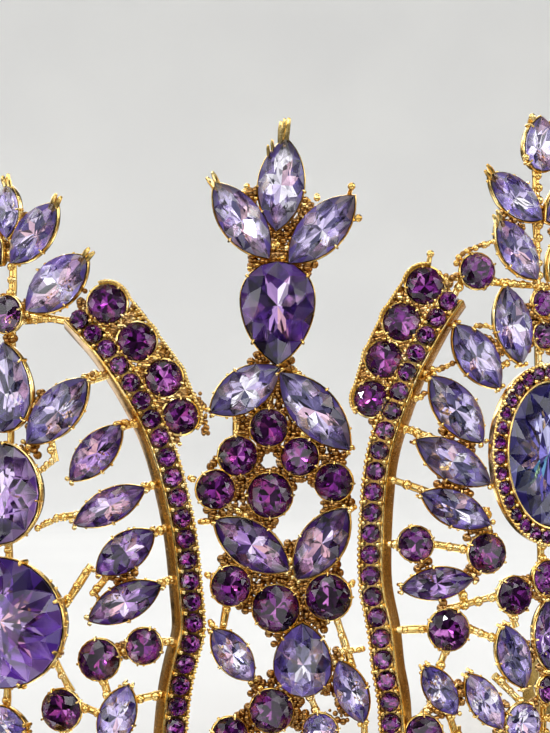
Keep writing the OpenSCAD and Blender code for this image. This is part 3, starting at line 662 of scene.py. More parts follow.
def along(frames, pitch, start):
    """Places at even steps along a strip."""
    run, want, out = 0.0, start, []
    for (p, a, o), (q, a2, o2) in zip(frames, frames[1:]):
        step = (q - p).length
        while want <= run + step and step > 0:
            f = (want - run) / step
            out.append((p.lerp(q, f), a.lerp(a2, f).normalized(), o.lerp(o2, f).normalized(), (q - p).normalized()))
            want += pitch
        run += step
    return out, run


PAVE_W, PAVE_PITCH = 2.56, 2.84


def pave_strip(S, beads, rows, axis, mirror, side, rnd, glass, foil):
    frames = strip_frames(strip_route(rows, axis, mirror, BAND_H + 0.7), side)
    spots, total = along(frames, PAVE_PITCH, 1.25)
    for x, a, o, d in spots:
        if x.z < BAND_H + 1.4:
            continue
        turn = rnd.uniform(0, 45)
        w = PAVE_W

        def place(q, x=x, a=a, o=o, turn=turn):
            c, s = math.cos(math.radians(turn)), math.sin(math.radians(turn))
            b = o.cross(a)
            return x + a * (q[0] * c - q[1] * s) + b * (q[0] * s + q[1] * c) + o * (q[2] + 0.34)

        gem(S, "round", w, w, place, rnd, glass, foil, n=12, small=True)
    for x, a, o, d in along(frames, PAVE_PITCH, 1.25 + PAVE_PITCH / 2)[0]:
        for s in (-1, 1):
            ball(beads, x + a * (s * 1.02) + o * 0.40, 0.40, axis=o, squash=1.3)


def halo(S, s):
    """Seat, channel and bezel round the big oval."""
    name, cut, turn, z, lean, l, w, col, axis = s
    place = seat(axis, z, lean, stand(w))
    rows = [(-3.6, -1.2), (-3.5, 0.3), (-2.7, 0.8), (-1.9, 1.3), (-1.5, 2.2), (-1.2, 2.6), (-0.7, 2.72), (-0.1, 2.76), (0.10, 2.72),
            (0.18, 2.64), (0.10, 2.56), (-0.60, 2.53), (-0.60, 0.62), (0.20, 0.56), (0.42, 0.50), (0.52, 0.40), (0.50, 0.28),
            (0.38, 0.14), (0.1, 0.04), (-0.6, 0.03)]
    n = 56
    rings = [[place((x, y, zz)) for x, y in outline("oval", l, w, g, n)] for zz, g in rows]
    loft(S, rings, cap0=True)
    P = outline("oval", l, w, 2.66, 400)
    per = sum(math.dist(P[i], P[i - 1]) for i in range(400))
    m = int(per / 0.72)
    for k in range(m):
        x, y = P[int(k / m * 400)]
        ball(S, place((x, y, 0.12)), 0.26)


def pave_halo(S, beads, s, rnd, glass, foil):
    name, cut, turn, z, lean, l, w, col, axis = s
    place0 = seat(axis, z, lean, stand(w))
    P = outline("oval", l, w, 1.58, 800)
    run = [0.0]
    for i in range(800):
        run.append(run[-1] + math.dist(P[i], P[(i + 1) % 800]))
    m = round(run[-1] / 2.06)
    j = 0
    for k in range(2 * m):
        want = run[-1] * k / (2 * m)
        while run[j + 1] < want:
            j += 1
        x, y = P[j]
        tx, ty = P[(j + 1) % 800][0] - x, P[(j + 1) % 800][1] - y
        q = math.hypot(tx, ty)
        tx, ty = tx / q, ty / q
        if k % 2 == 0:
            a = rnd.uniform(0, 0.8)

            def place(v, x=x, y=y, a=a):
                return place0((x + v[0] * math.cos(a) - v[1] * math.sin(a), y + v[0] * math.sin(a) + v[1] * math.cos(a), v[2] + 0.06))

            gem(S, "round", 1.88, 1.88, place, rnd, glass, foil, n=12, small=True)
        else:
            for sgn in (-1, 1):
                ball(beads, place0((x + ty * sgn * 0.78, y - tx * sgn * 0.78, 0.14)), 0.30)


def depth_in(stones, v):
    """How far inside the nearest stone's outline a point is; negative outside."""
    best = -9.0
    for place, P, big in stones:
        x, y, z = place.back(v)
        if abs(z) > 6 or math.hypot(x, y) > big + 3:
            continue
        best = max(best, outline_depth(P, x, y))
    return best


def settle(stones, p, q):
    """Moves a link's end p along its line so that it ends just inside a cup."""
    d = (q - p).normalized()
    L = (q - p).length
    if depth_in(stones, p) > 0.5:
        t = 0.0
        while t < L * 0.45 and depth_in(stones, p + d * t) > 0.5:
            t += 0.15
        return p + d * t
    t = 0.0
    while t < 4.4:
        if depth_in(stones, p - d * t) > 0.1:
            return p - d * (t + 0.3)
        t += 0.15
    return p - d * 0.2


def link(S, a, axis, side, rnd, stones):
    t0, z0, t1, z1 = axis + side * a[0], a[1], axis + side * a[2], a[3]
    p, q = surface(t0, z0, -1.3), surface(t1, z1, -1.3)
    ends = settle(stones, p, q), settle(stones, q, p)
    p = ends[0]
    q = Vector((q.x, q.y, BAND_H + 0.12)) if z1 < BAND_H + 0.3 else ends[1]
    L = (q - p).length
    k = max(2, int(L / 1.6))
    pts = [p.lerp(q, i / k) for i in range(k + 1)]
    tube(S, pts, [rnd.uniform(0.46, 0.62) for _ in pts], sides=10, tip=False)
    m = max(1, int(L / 1.7))
    for i in range(m):
        f = (i + 0.5) / m
        x = p.lerp(q, f)
        ex, ey = tangent(t0 + (t1 - t0) * f)
        o = Vector((ey, -ex, 0))
        ball(S, x + o * rnd.uniform(0.3, 0.6), rnd.uniform(0.5, 0.72), small=False)


def chain(S, pts, axis, side, rnd):
    """A short solder join covered with beads."""
    xyz = [surface(axis + side * t, z, -0.85) for t, z in pts]
    tube(S, xyz, [0.30 for _ in xyz], sides=8)
    for (t0, z0), (t1, z1), p, q in zip(pts, pts[1:], xyz, xyz[1:]):
        m = max(1, round((q - p).length / 0.72))
        for k in range(m):
            f = (k + 0.5) / m
            t, z = t0 + (t1 - t0) * f + rnd.uniform(-0.15, 0.15), z0 + (z1 - z0) * f + rnd.uniform(-0.2, 0.2)
            # about a third of these beads carry painted shade
            ball(S, surface(axis + side * t, z, rnd.uniform(-0.65, -0.3)), rnd.uniform(0.34, 0.54), small=False, share=rnd.random() < 0.35)
    ball(S, surface(axis + side * pts[0][0], pts[0][1], 0.1), 0.46, small=False)


def shoulder_wall(S, stones, way, frames, rnd, prong):
    """Outer wall with milgrain round a row of shoulder stones, and the beads between them.

    way is the direction of the wall across the panel, -1 or 1."""
    seats = [seat_of(s) for s in stones]
    path = []
    for i, s in enumerate(stones):
        a, b = stones[max(i - 1, 0)], stones[min(i + 1, len(stones) - 1)]
        k = math.radians(radius(s[8]))
        dx, dy = (b[8] - a[8]) * k, b[3] - a[3]
        mid = math.atan2(way * abs(dx), abs(dy)) if way > 0 else math.pi - math.atan2(abs(dx), abs(dy))
        lo, hi = (-20, 20) if i not in (0, len(stones) - 1) else (-20, 76) if i == 0 else (-64, 20)
        r = s[6] / 2
        for d in range(hi, lo - 1, -8):
            a = mid + (math.radians(d) if way > 0 else -math.radians(d))
            path.append((seats[i], r, a))
    prof = [(0.30, -1.5), (0.72, -1.5), (0.76, -0.1), (0.68, 0.06), (0.44, 0.06), (0.34, -0.1)]
    rings = []
    for place, r, a in path:
        rings.append([place(((r + g) * math.cos(a), (r + g) * math.sin(a), z)) for g, z in prof])
    if way > 0:
        rings = [q[::-1] for q in rings]
    loft(S, rings, cap0=True, cap1=True)
    # cast metal between the wall and the stones
    for i in range(len(stones) - 1):
        pa = [q for q in path if q[0] is seats[i]][-1]
        pb = [q for q in path if q[0] is seats[i + 1]][0]
        a = pa[0](((pa[1] + 0.5) * math.cos(pa[2]), (pa[1] + 0.5) * math.sin(pa[2]), 0))
        b = pb[0](((pb[1] + 0.5) * math.cos(pb[2]), (pb[1] + 0.5) * math.sin(pb[2]), 0))
        mid, c = (a + b) / 2, (seats[i]((0, 0, 0)) + seats[i + 1]((0, 0, 0))) / 2
        inward, length = (c - mid).normalized(), (b - a).normalized()
        face = seats[i]((0, 0, 1)) - seats[i]((0, 0, 0))
        for d, spread in ((0.25, 1.0), (0.75, 0.75), (1.25, 0.5), (1.75, 0.25), (2.3, 0.1)):
            for e in (-1, -0.33, 0.33, 1):
                x = mid + inward * d + length * (e * spread)
                # painted shade on the deeper beads and on more than half of the others
                ball(S, x - face * 1.15, 0.58, share=True)
                ball(S, x + length * rnd.uniform(-0.15, 0.15) - face * rnd.uniform(0.35, 0.6), rnd.choice((0.26, 0.32, 0.38)), share=rnd.random() < 0.6)
    # milgrain on the wall
    crest = [place(((r + 0.56) * math.cos(a), (r + 0.56) * math.sin(a), 0.12)) for place, r, a in path]
    run = 0.0
    for p, q in zip(crest, crest[1:]):
        run += (q - p).length
        while run >= 0.50:
            run -= 0.50
            ball(S, q + (p - q).normalized() * run, rnd.uniform(0.21, 0.27))
    # a taller ball prong at the top
    place, r, a = path[0]
    a -= way * 0.12
    tip = place(((r + 1.9) * math.cos(a), (r + 1.9) * math.sin(a), 0.1))
    if prong:
        tube(S, [place(((r + 0.3) * math.cos(a), (r + 0.3) * math.sin(a), -0.8)), place(((r + 0.9) * math.cos(a), (r + 0.9) * math.sin(a), -0.2)), tip], [0.42, 0.36, 0.32], sides=8)
        ball(S, tip, 0.54, small=False)
    # beads that fill what is left between the stones and the strip
    pts = [p for p, _, _ in frames]
    for i, s in enumerate(stones):
        r = s[6] / 2
        for _ in range(230):
            a, g = rnd.uniform(0, 2 * math.pi), rnd.uniform(0.36, 1.5)
            z = rnd.uniform(-0.7, -0.2)
            v = seats[i](((r + g) * math.cos(a), (r + g) * math.sin(a), z))
            to_strip = min((v - p).length for p in pts)
            near = 9.0
            for j, o in enumerate(stones):
                if j != i:
                    x, y, _ = seats[j].back(v)
                    near = min(near, math.hypot(x, y) - o[6] / 2)
            if near < 0.3 or to_strip < 1.35:
                continue
            if near < 1.3 or to_strip < 2.3:
                # most of these beads carry painted shade, and all of the deeper ones
                ball(S, v, rnd.choice((0.24, 0.30, 0.36, 0.44)), share=rnd.random() < 0.8)
                if rnd.random() < 0.3:
                    ball(S, seats[i](((r + g) * math.cos(a), (r + g) * math.sin(a), -1.5)), 0.6, share=True)


# ---------------------------------------------------------------------------
# Materials
# ---------------------------------------------------------------------------
def new_material(name):
    m = bpy.data.materials.new(name)
    m.use_nodes = True
    nt = m.node_tree
    bsdf = next(n for n in nt.nodes if n.type == "BSDF_PRINCIPLED")
    return m, nt, bsdf


def ramp(nt, stops, source, interpolation="LINEAR"):
    r = nt.nodes.new("ShaderNodeValToRGB")
    r.color_ramp.interpolation = interpolation
    while len(r.color_ramp.elements) < len(stops):
        r.color_ramp.elements.new(0.5)
    for e, (pos, col) in zip(r.color_ramp.elements, stops):
        e.position = pos
        e.color = (*col, 1.0)
    nt.links.new(source, r.inputs["Fac"])
    return r.outputs["Color"]


def value_range(nt, source, lo, hi, a=0.0, b=1.0):
    n = nt.nodes.new("ShaderNodeMapRange")
    n.inputs["From Min"].default_value = a
    n.inputs["From Max"].default_value = b
    n.inputs["To Min"].default_value = lo
    n.inputs["To Max"].default_value = hi
    nt.links.new(source, n.inputs["Value"])
    return n.outputs["Result"]


def noise(nt, scale, detail=3.0, rough=0.5):
    c = nt.nodes.new("ShaderNodeTexCoord")
    n = nt.nodes.new("ShaderNodeTexNoise")
    n.inputs["Scale"].default_value = scale
    n.inputs["Detail"].default_value = detail
    n.inputs["Roughness"].default_value = rough
    nt.links.new(c.outputs["Object"], n.inputs["Vector"])
    return n.outputs["Fac"]


def mix_colour(nt, fac, a, b, mode="MIX"):
    n = nt.nodes.new("ShaderNodeMix")
    n.data_type = "RGBA"
    n.blend_type = mode
    for sock, val in ((n.inputs[0], fac), (n.inputs[6], a), (n.inputs[7], b)):
        if isinstance(val, (int, float)):
            sock.default_value = val
        elif isinstance(val, tuple):
            sock.default_value = (*val, 1.0)
        else:
            nt.links.new(val, sock)
    return n.outputs[2]


def bump(nt, bsdf, height, distance, strength=1.0):
    b = nt.nodes.new("ShaderNodeBump")
    b.inputs["Strength"].default_value = strength
    b.inputs["Distance"].default_value = distance
    nt.links.new(height, b.inputs["Height"])
    nt.links.new(b.outputs["Normal"], bsdf.inputs["Normal"])


def gold_material(name):
    m, nt, b = new_material(name)
    b.inputs["Metallic"].default_value = 1.0
    broad = noise(nt, 160.0, 3.0)
    fine = noise(nt, 900.0, 4.0, 0.6)
    worn = noise(nt, 420.0, 2.0, 0.55)
    base = ramp(nt, [(0.30, (0.64, 0.38, 0.095)), (0.52, (0.86, 0.61, 0.21)), (0.72, (0.97, 0.79, 0.40))], broad)
    # thin spots of the plating, paler
    spot = ramp(nt, [(0.62, (0, 0, 0)), (0.74, (1, 1, 1))], worn)
    col = mix_colour(nt, spot, base, (0.95, 0.78, 0.44))
    # painted shade: metal in the recesses between the cups, on the lower cup walls, on the strips' bevels and channel
    # floors and on shaded beads, darkened towards a coppery brown
    col = mix_colour(nt, value_range(nt, attribute(nt, "ring"), 0.0, 0.82), col, (0.26, 0.11, 0.03))
    nt.links.new(col, b.inputs["Base Color"])
    nt.links.new(value_range(nt, fine, 0.12, 0.30, 0.3, 0.7), b.inputs["Roughness"])
    bump(nt, b, fine, 0.00006, 0.6)
    return m


def attribute(nt, name):
    a = nt.nodes.new("ShaderNodeAttribute")
    a.attribute_name = name
    return a.outputs["Fac"]


# Stone colours: pale facet, bright facet, warm facet, dark facet, deep rim. The bright, warm and dark facet colours are
# painted reflections of bright, warm and dark surroundings; the pale facet and deep rim colours are the stone's own.
STONE = {
    "lilac": ((0.64, 0.57, 0.78), (1.0, 0.98, 1.0), (0.76, 0.53, 0.58), (0.08, 0.08, 0.13), (0.38, 0.27, 0.84)),
    "violet": ((0.50, 0.32, 0.62), (0.88, 0.76, 0.92), (0.74, 0.46, 0.48), (0.03, 0.022, 0.04), (0.24, 0.09, 0.56)),
    "amethyst": ((0.19, 0.03, 0.22), (0.52, 0.20, 0.50), (0.32, 0.06, 0.24), (0.015, 0.002, 0.018), (0.085, 0.008, 0.11)),
    "blue_violet": ((0.30, 0.25, 0.68), (0.74, 0.70, 0.95), (0.13, 0.30, 0.44), (0.014, 0.016, 0.09), (0.12, 0.08, 0.44)),
}


def foil_material(colour):
    pale, painted_bright_reflection, painted_warm_reflection, painted_dark_reflection, rim = STONE[colour]
    m, nt, b = new_material("foil_" + colour)
    facet, ring = attribute(nt, "facet"), attribute(nt, "ring")
    # painted reflections: facets picked by their random facet value take the dark, warm or bright colour in place of
    # the stone's pale and rim colours
    stops = (0.42, 0.58, 0.70, 0.84) if colour == "amethyst" else (0.24, 0.46, 0.62, 0.86)
    inner = ramp(nt, [(0.0, painted_dark_reflection)] + list(zip(stops, (pale, painted_warm_reflection, painted_bright_reflection, pale))), facet, "CONSTANT")
    last = painted_warm_reflection if colour == "lilac" else painted_dark_reflection
    outer = ramp(nt, [(0.0, rim), (0.40, pale), (0.60, rim), (0.78, painted_bright_reflection), (0.88, last)], facet, "CONSTANT")
    col = mix_colour(nt, ring, inner, outer)
    cloud = noise(nt, 260.0, 2.0)
    col = mix_colour(nt, value_range(nt, cloud, 0.0, 0.20, 0.40, 0.75), col, rim)
    nt.links.new(col, b.inputs["Base Color"])
    b.inputs["Metallic"].default_value = 1.0
    # the outer facets lie flatter to the glass and blur what they show
    add = nt.nodes.new("ShaderNodeMath")
    add.operation = "MULTIPLY_ADD"
    nt.links.new(ring, add.inputs[0])
    add.inputs[1].default_value = 0.30
    nt.links.new(value_range(nt, noise(nt, 700.0, 2.0), 0.03, 0.09, 0.3, 0.7), add.inputs[2])
    nt.links.new(add.outputs[0], b.inputs["Roughness"])
    return m


def glass_material(colour):
    tint = {"lilac": (0.96, 0.94, 1.0), "violet": (0.92, 0.86, 1.0), "amethyst": (0.88, 0.72, 0.95), "blue_violet": (0.84, 0.88, 1.0)}[colour]
    m, nt, b = new_material("glass_" + colour)
    b.inputs["Transmission Weight"].default_value = 1.0
    b.inputs["IOR"].default_value = 1.54
    cloud = noise(nt, 140.0, 2.0)
    nt.links.new(mix_colour(nt, value_range(nt, cloud, 0.0, 1.0, 0.3, 0.7), tint, tuple(0.5 + 0.5 * c for c in tint)), b.inputs["Base Color"])
    smear = noise(nt, 320.0, 3.0)
    nt.links.new(value_range(nt, smear, 0.0, 0.05, 0.5, 0.8), b.inputs["Roughness"])
    bump(nt, b, noise(nt, 240.0, 1.0), 0.00006, 0.4)
    return m


GOLD = gold_material("gold_plate")
COLOURS = ["lilac", "violet", "amethyst", "blue_violet"]
STONES = [m for c in COLOURS for m in (glass_material(c), foil_material(c))]


def mats_of(colour):
    k = COLOURS.index(colour)
    return 2 * k, 2 * k + 1


# ---------------------------------------------------------------------------
# Sections
# ---------------------------------------------------------------------------
def place_rows(rows, axis):
    return [(*s, axis + s[2]) for s in rows]


def mirror_rows(rows, axis):
    return [(s[0], s[1], -s[2], s[3], -s[4], s[5], s[6], s[7], axis - s[2]) for s in rows]


def both(rows, axis):
    return place_rows(rows, axis) + mirror_rows(rows, axis)


def seat_of(s):
    return seat(s[8], s[3], s[4], stand(s[6]))


def tone_of(s):
    """Above 1 a stone shows more of its facets with painted dark reflections, below 1 more of those with painted bright
    ones.
    """
    if s[0].startswith("top_"):
        return 0.75
    if s[0].endswith("leaf"):
        return 1.7
    if s[7] == "amethyst":
        return 1.35 if -40 < s[8] < -18 and s[3] < 59 else 1.1
    if s[1] == "navette" and abs(s[8]) < 15:
        return 1.6
    return 0.85 if s[6] > 12 else 1.1


def add_stones(S, rows, seed):
    rnd = random.Random(seed)
    for s in rows:
        g, f = mats_of(s[7])
        n = 16
        if s[1] == "oval":
            n = 24
        gem(S, s[1], s[5], s[6], seat_of(s), rnd, g, f, n, tone=tone_of(s))


def add_cups(S, rows, rnd, shoulders=()):
    for s in rows:
        place = seat_of(s)
        cut, l, w = s[1], s[5], s[6]
        edge = 0.14 if s in shoulders or s[0].endswith("wing") else 0.0
        cup(S, cut, l, w, place, edge)
        if not (s[0].startswith("top_") or s[0] == "pear"):
            granules(S, cut, l, w, place, rnd, share=0.15 if w < 9 else 0.5)
        if cut == "round":
            off = rnd.uniform(0, 0.25)
            for k in range(4):
                claw(S, place, cut, l, w, off + k / 4, height=0.38, r=0.17, low=-0.7, reach=-0.04)
        elif cut == "navette":
            for u in (0.27, 0.73):
                claw(S, place, cut, l, w, u + rnd.uniform(-0.03, 0.03), height=0.36, r=0.17, low=-0.7, reach=-0.02)
            if s[3] > 77:
                continue
            for end in (1, -1):
                tip_balls(S, place, l, end, rnd)
        else:
            m = 4 if w < 12 else 8
            for k in range(m):
                claw(S, place, cut, l, w, (k + 0.5) / m, height=0.42, r=0.20 if w < 12 else 0.34, low=-0.9, reach=-0.08)


def add_links(S, rows, axis, rnd, stones, sides=(1,)):
    info = [(seat_of(s), outline(s[1], s[5], s[6], -1.2 if s[6] > 9 else 0.0, 40), max(s[5], s[6]) / 2) for s in stones]
    for side in sides:
        for a in rows:
            link(S, a, axis, side, rnd, info)


SPIRE_ALL = spire_stones + spire_low_stones


def spire_metal(name, node, mirror):
    S, rnd = Shape(), random.Random(11)
    rows = place_rows(SPIRE_ALL, -VALLEY)
    add_cups(S, rows, rnd)
    webs(S, rows, rnd, 0.85, 1.8, 2.35)
    add_links(S, spire_links, -VALLEY, rnd, rows)
    for t0, z0, t1, z1 in spire_joins:
        p, q = surface(t0 - VALLEY, z0, -0.9), surface(t1 - VALLEY, z1, -0.9)
        tube(S, [p, (p + q) / 2, q], [0.42, 0.5, 0.42], sides=9)
        m = max(1, round((q - p).length / 0.95))
        for k in range(m):
            ball(S, p.lerp(q, (k + 0.5) / m) + (seat_of(rows[0])((0, 0, 0.55)) - seat_of(rows[0])((0, 0, 0))), rnd.uniform(0.42, 0.52), small=False)
    # more than half of these beads carry painted shade
    for k in range(46):
        f = k / 45
        t, z = -8.45 + 0.75 * f + rnd.uniform(-0.45, 0.45), 63.2 - 5.6 * f
        ball(S, surface(t - VALLEY, z, rnd.uniform(-1.1, -0.35)), rnd.uniform(0.28, 0.46), share=rnd.random() < 0.6)
    by = {s[0]: s for s in rows}
    top, l = seat_of(by["top_centre_navette"]), by["top_centre_navette"][5]
    spike(S, top, l, -1.7, -4, 2.1)
    spike(S, top, l, 0.0, 3, 2.7)
    spike(S, top, l, -0.9, -1, 2.2, r=0.32, start=-0.2)
    spike(S, top, l, -5.0, -4, 0.9, r=0.25, start=-2.8)
    spike(S, top, l, -3.9, -6, 0.9, r=0.25, start=-2.0)
    lft, l = seat_of(by["top_left_navette"]), by["top_left_navette"][5]
    spike(S, lft, l, -0.9, -8, 1.1, r=0.38)
    spike(S, lft, l, 0.7, 8, 1.3, r=0.38)
    rgt, l = seat_of(by["top_right_navette"]), by["top_right_navette"][5]
    ball_prong(S, rgt, -1.1, l / 2 + 0.6, 0.3, 0.56)
    ball_prong(S, rgt, 2.7, l / 2 - 1.9, 0.3, 0.56)
    # knots of beads where the top leaves and the pear meet
    knot = seat(-VALLEY + 0.4, 82.2, 0, 0)
    for k in range(44):
        x, y = rnd.uniform(-1.6, 1.6), rnd.uniform(-2.4, 3.0)
        # most of these beads carry painted shade
        ball(S, knot((x * (1.15 - 0.1 * y), y, rnd.uniform(-1.5, -0.3))), rnd.choice((0.28, 0.34, 0.42, 0.54)), share=rnd.random() < 0.8)
    for cx, cy, m in ((-3.5, -1.5, 5), (3.7, -2.0, 5), (-3.6, 8.6, 4), (4.2, 7.7, 5), (-3.1, -15.6, 3), (2.6, -15.6, 3), (-4.3, 9.6, 2), (5.0, 8.4, 2)):
        for k in range(m):
            ball(S, knot((cx + rnd.uniform(-0.6, 0.6), cy + rnd.uniform(-0.6, 0.6), rnd.uniform(-1.3, -0.5))), rnd.uniform(0.34, 0.52))
    S.piece(name, [node], "gold_plate", [GOLD], mirror)


def panel_metal(name, node, mirror, axis, pairs, axis_rows, strip_rows, links, axis_links, big, seed):
    S, rnd = Shape(), random.Random(seed)
    rows = both(pairs, axis) + place_rows(axis_rows, axis)
    bigs = place_rows(big, axis)
    halo_of = [s for s in bigs if s[0] == "oval"]
    shoulders = [s for s in rows if s[8] != axis and s[1] == "round" and 59 < s[3] < 79 and abs(s[2]) > 11]
    cups = rows + [s for s in bigs if s[0] != "oval"]
    add_cups(S, cups, rnd, shoulders)
    webs(S, cups, rnd, 0.75, 1.3, 1.5, low=BAND_H + 1)
    for s in halo_of:
        halo(S, s)
    for s in bigs:
        if s[0] == "top_pear":
            place = seat_of(s)
            for x, y in ((-2.1, 3.5), (2.1, 3.5), (-3.3, -2.4), (3.3, -2.4)):
                ball_prong(S, place, x, y, 0.25, 0.5)
    for s in rows + bigs:
        if s[1] == "navette" and s[3] > 77:
            place = seat_of(s)
            spike(S, place, s[5], -0.8, -5, 1.1, r=0.38)
            spike(S, place, s[5], 0.7, 5, 1.3, r=0.38)
    add_links(S, links, axis, rnd, rows + bigs, (1, -1))
    add_links(S, axis_links, axis, rnd, rows + bigs)
    for pts in centre_chains if axis == 0 else side_chains:
        chain(S, pts, axis, 1, rnd)
        chain(S, pts, axis, -1, rnd)
    # strips: as in part.scad, the first one's table is given on its own side
    first = strip_rows[3][0] < 0
    strip(S, strip_rows, axis, False, 1 if first else -1, rnd)
    strip(S, strip_rows, axis, True, -1 if first else 1, rnd)
    for way in (-1, 1):
        row = sorted((s for s in shoulders if (s[8] - axis) * way > 0), key=lambda s: -s[3])
        route_pts = strip_route(strip_rows, axis, (way > 0) == first, BAND_H + 0.1)
        shoulder_wall(S, row, way, strip_frames(route_pts, 1), rnd, axis == 0)
    return S, rnd


def row_stones(name, node, mirror, axis, strip_rows, beads, seed):
    S, rnd = Shape(), random.Random(seed)
    g, f = mats_of("amethyst")
    first = strip_rows[3][0] < 0
    pave_strip(S, beads, strip_rows, axis, False, 1 if first else -1, rnd, g, f)
    pave_strip(S, beads, strip_rows, axis, True, -1 if first else 1, rnd, g, f)
    S.piece(name, [node], "small_amethyst", STONES, mirror)


# Base band
def base_band():
    S, rnd = Shape(), random.Random(5)
    prof = [(-2.9, 0.35), (-2.6, 0.0), (0.55, 0.0), (0.85, 0.3), (0.9, 0.8), (0.9, 4.15), (0.78, 4.40), (0.45, 4.66), (0.1, 4.74), (-0.5, 4.78), (-0.5, 7.22), (0.1, 7.26),
            (0.45, 7.34), (0.78, 7.60), (0.9, 7.85), (0.9, 11.2), (0.85, 11.7), (0.55, 12.0), (-2.6, 12.0), (-2.9, 11.65)]
    rings = []
    t = -END
    while t <= END + 0.01:
        rings.append([surface(t, z, o) for o, z in prof])
        t += 1.0
    loft(S, rings, cap0=True, cap1=True)
    run, prev, t = 0.0, surface(-END, 0, 0.75), -END
    while t < END - 0.4:
        t += 0.1
        p = surface(t, 0, 0.75)
        run += (p - prev).length
        prev = p
        if run >= 0.95:
            run -= 0.95
            for z in (2.0, 10.0):
                ball(S, Vector((p.x, p.y, z)), 0.36)
    stones = Shape()
    g, f = mats_of("amethyst")
    run, prev, t, k = 0.0, surface(-END + 1.5, 6, 0), -END + 1.5, 0
    half = PAVE_PITCH / 2
    while t < END - 1.6:
        t += 0.05
        p = surface(t, 6, 0)
        run += (p - prev).length
        prev = p
        if run >= half:
            run -= half
            k += 1
            if k % 2:
                gem(stones, "round", PAVE_W, PAVE_W, seat(t, 6.0, rnd.uniform(0, 45), 0.34), rnd, g, f, n=12, small=True)
            else:
                for z in (-1.02, 1.02):
                    ball(S, surface(t, 6 + z, 0.42), 0.40)
    S.piece("base_band_metal", ["base_band"], "gold_plate", [GOLD])
    stones.piece("base_row_stones", ["base_row"], "small_amethyst", STONES)


def stone_piece(name, node, rows, seed, slot, mirror=False):
    S = Shape()
    add_stones(S, rows, seed)
    S.piece(name, [node], slot, STONES, mirror, sharp=1.0)


def slot_of(n):
    rec = {s["node"]: s["material_slot"] for s in frame["record"]["subparts"]}
    return rec[n]


base_band()

# centre panel
centre_pairs = centre_half_stones + centre_finial_stones + centre_shoulder_stones
S, rnd = panel_metal("centre_panel_metal", "centre_panel_frame", False, 0.0, centre_pairs, centre_axis_stones, centre_strip,
                     centre_links, centre_axis_links, centre_big_stones, 21)
row_stones("centre_panel_row_stones", "centre_panel_rows", False, 0.0, centre_strip, S, 22)
H = Shape()
g, f = mats_of("amethyst")
pave_halo(H, S, place_rows(centre_big_stones, 0.0)[0], random.Random(23), g, f)
H.piece("centre_halo_stones", ["centre_halo_row"], "small_amethyst", STONES)
S.piece("centre_panel_metal", ["centre_panel_frame"], "gold_plate", [GOLD])

side_pairs = side_half_stones + side_finial_stones + side_shoulder_stones
for hand, mirror in (("left", False), ("right", True)):
    S, rnd = panel_metal(hand + "_panel_metal", hand + "_panel_frame", mirror, -PITCH, side_pairs, side_axis_stones, side_strip,
                         side_links, side_axis_links, side_big_stones, 31)
    row_stones(hand + "_panel_row_stones", hand + "_panel_rows", mirror, -PITCH, side_strip, S, 32)
    S.piece(hand + "_panel_metal", [hand + "_panel_frame"], "gold_plate", [GOLD], mirror)
    spire_metal(hand + "_spire_metal", hand + "_spire_frame", mirror)

for k, s in enumerate(place_rows(centre_big_stones, 0.0)):
    node = "centre_panel_" + s[0]
    stone_piece(node + "_stone", node, [s], 100 + k, slot_of(node))
for hand, mirror in (("left", False), ("right", True)):
    for k, s in enumerate(place_rows(side_big_stones, -PITCH)):
        node = hand + "_panel_" + s[0]
        stone_piece(node + "_stone", node, [s], 110 + k, slot_of(node), mirror)
for k, s in enumerate(place_rows(spire_stones, -VALLEY)):
    node = "left_spire_" + s[0]
    stone_piece(node + "_stone", node, [s], 200 + k, slot_of(node))


def leaves(rows):
    return [s for s in rows if s[1] != "round"]


def rounds(rows):
    return [s for s in rows if s[1] == "round"]


spire_all = place_rows(SPIRE_ALL, -VALLEY)
centre_body = both(centre_half_stones, 0.0) + place_rows(centre_axis_stones, 0.0)
side_body = both(side_half_stones, -PITCH) + place_rows(side_axis_stones, -PITCH)
groups = [
    ("left_spire_low_stones", place_rows(spire_low_stones, -VALLEY), False),
    ("right_spire_leaves", leaves(spire_all), True),
    ("right_spire_rounds", rounds(spire_all), True),
    ("centre_panel_leaves", leaves(centre_body), False),
    ("centre_panel_rounds", rounds(centre_body), False),
    ("centre_finial_leaves", leaves(both(centre_finial_stones, 0.0)), False),
    ("centre_finial_rounds", rounds(both(centre_finial_stones + centre_shoulder_stones, 0.0)), False),
]
for hand, mirror in (("left", False), ("right", True)):
    groups += [
        (hand + "_panel_leaves", leaves(side_body), mirror),
        (hand + "_panel_rounds", rounds(side_body), mirror),
        (hand + "_finial_leaves", leaves(both(side_finial_stones, -PITCH)), mirror),
        (hand + "_shoulder_rounds", rounds(both(side_shoulder_stones, -PITCH)), mirror),
    ]
for k, (node, rows, mirror) in enumerate(groups):
    stone_piece(node + "_set", node, rows, 300 + k, slot_of(node), mirror)

# ---------------------------------------------------------------------------
# Stage, light and camera
# ---------------------------------------------------------------------------
scene = bpy.context.scene
scene.view_settings.view_transform = "Standard"
scene.view_settings.look = "None"
scene.view_settings.exposure = 0.0

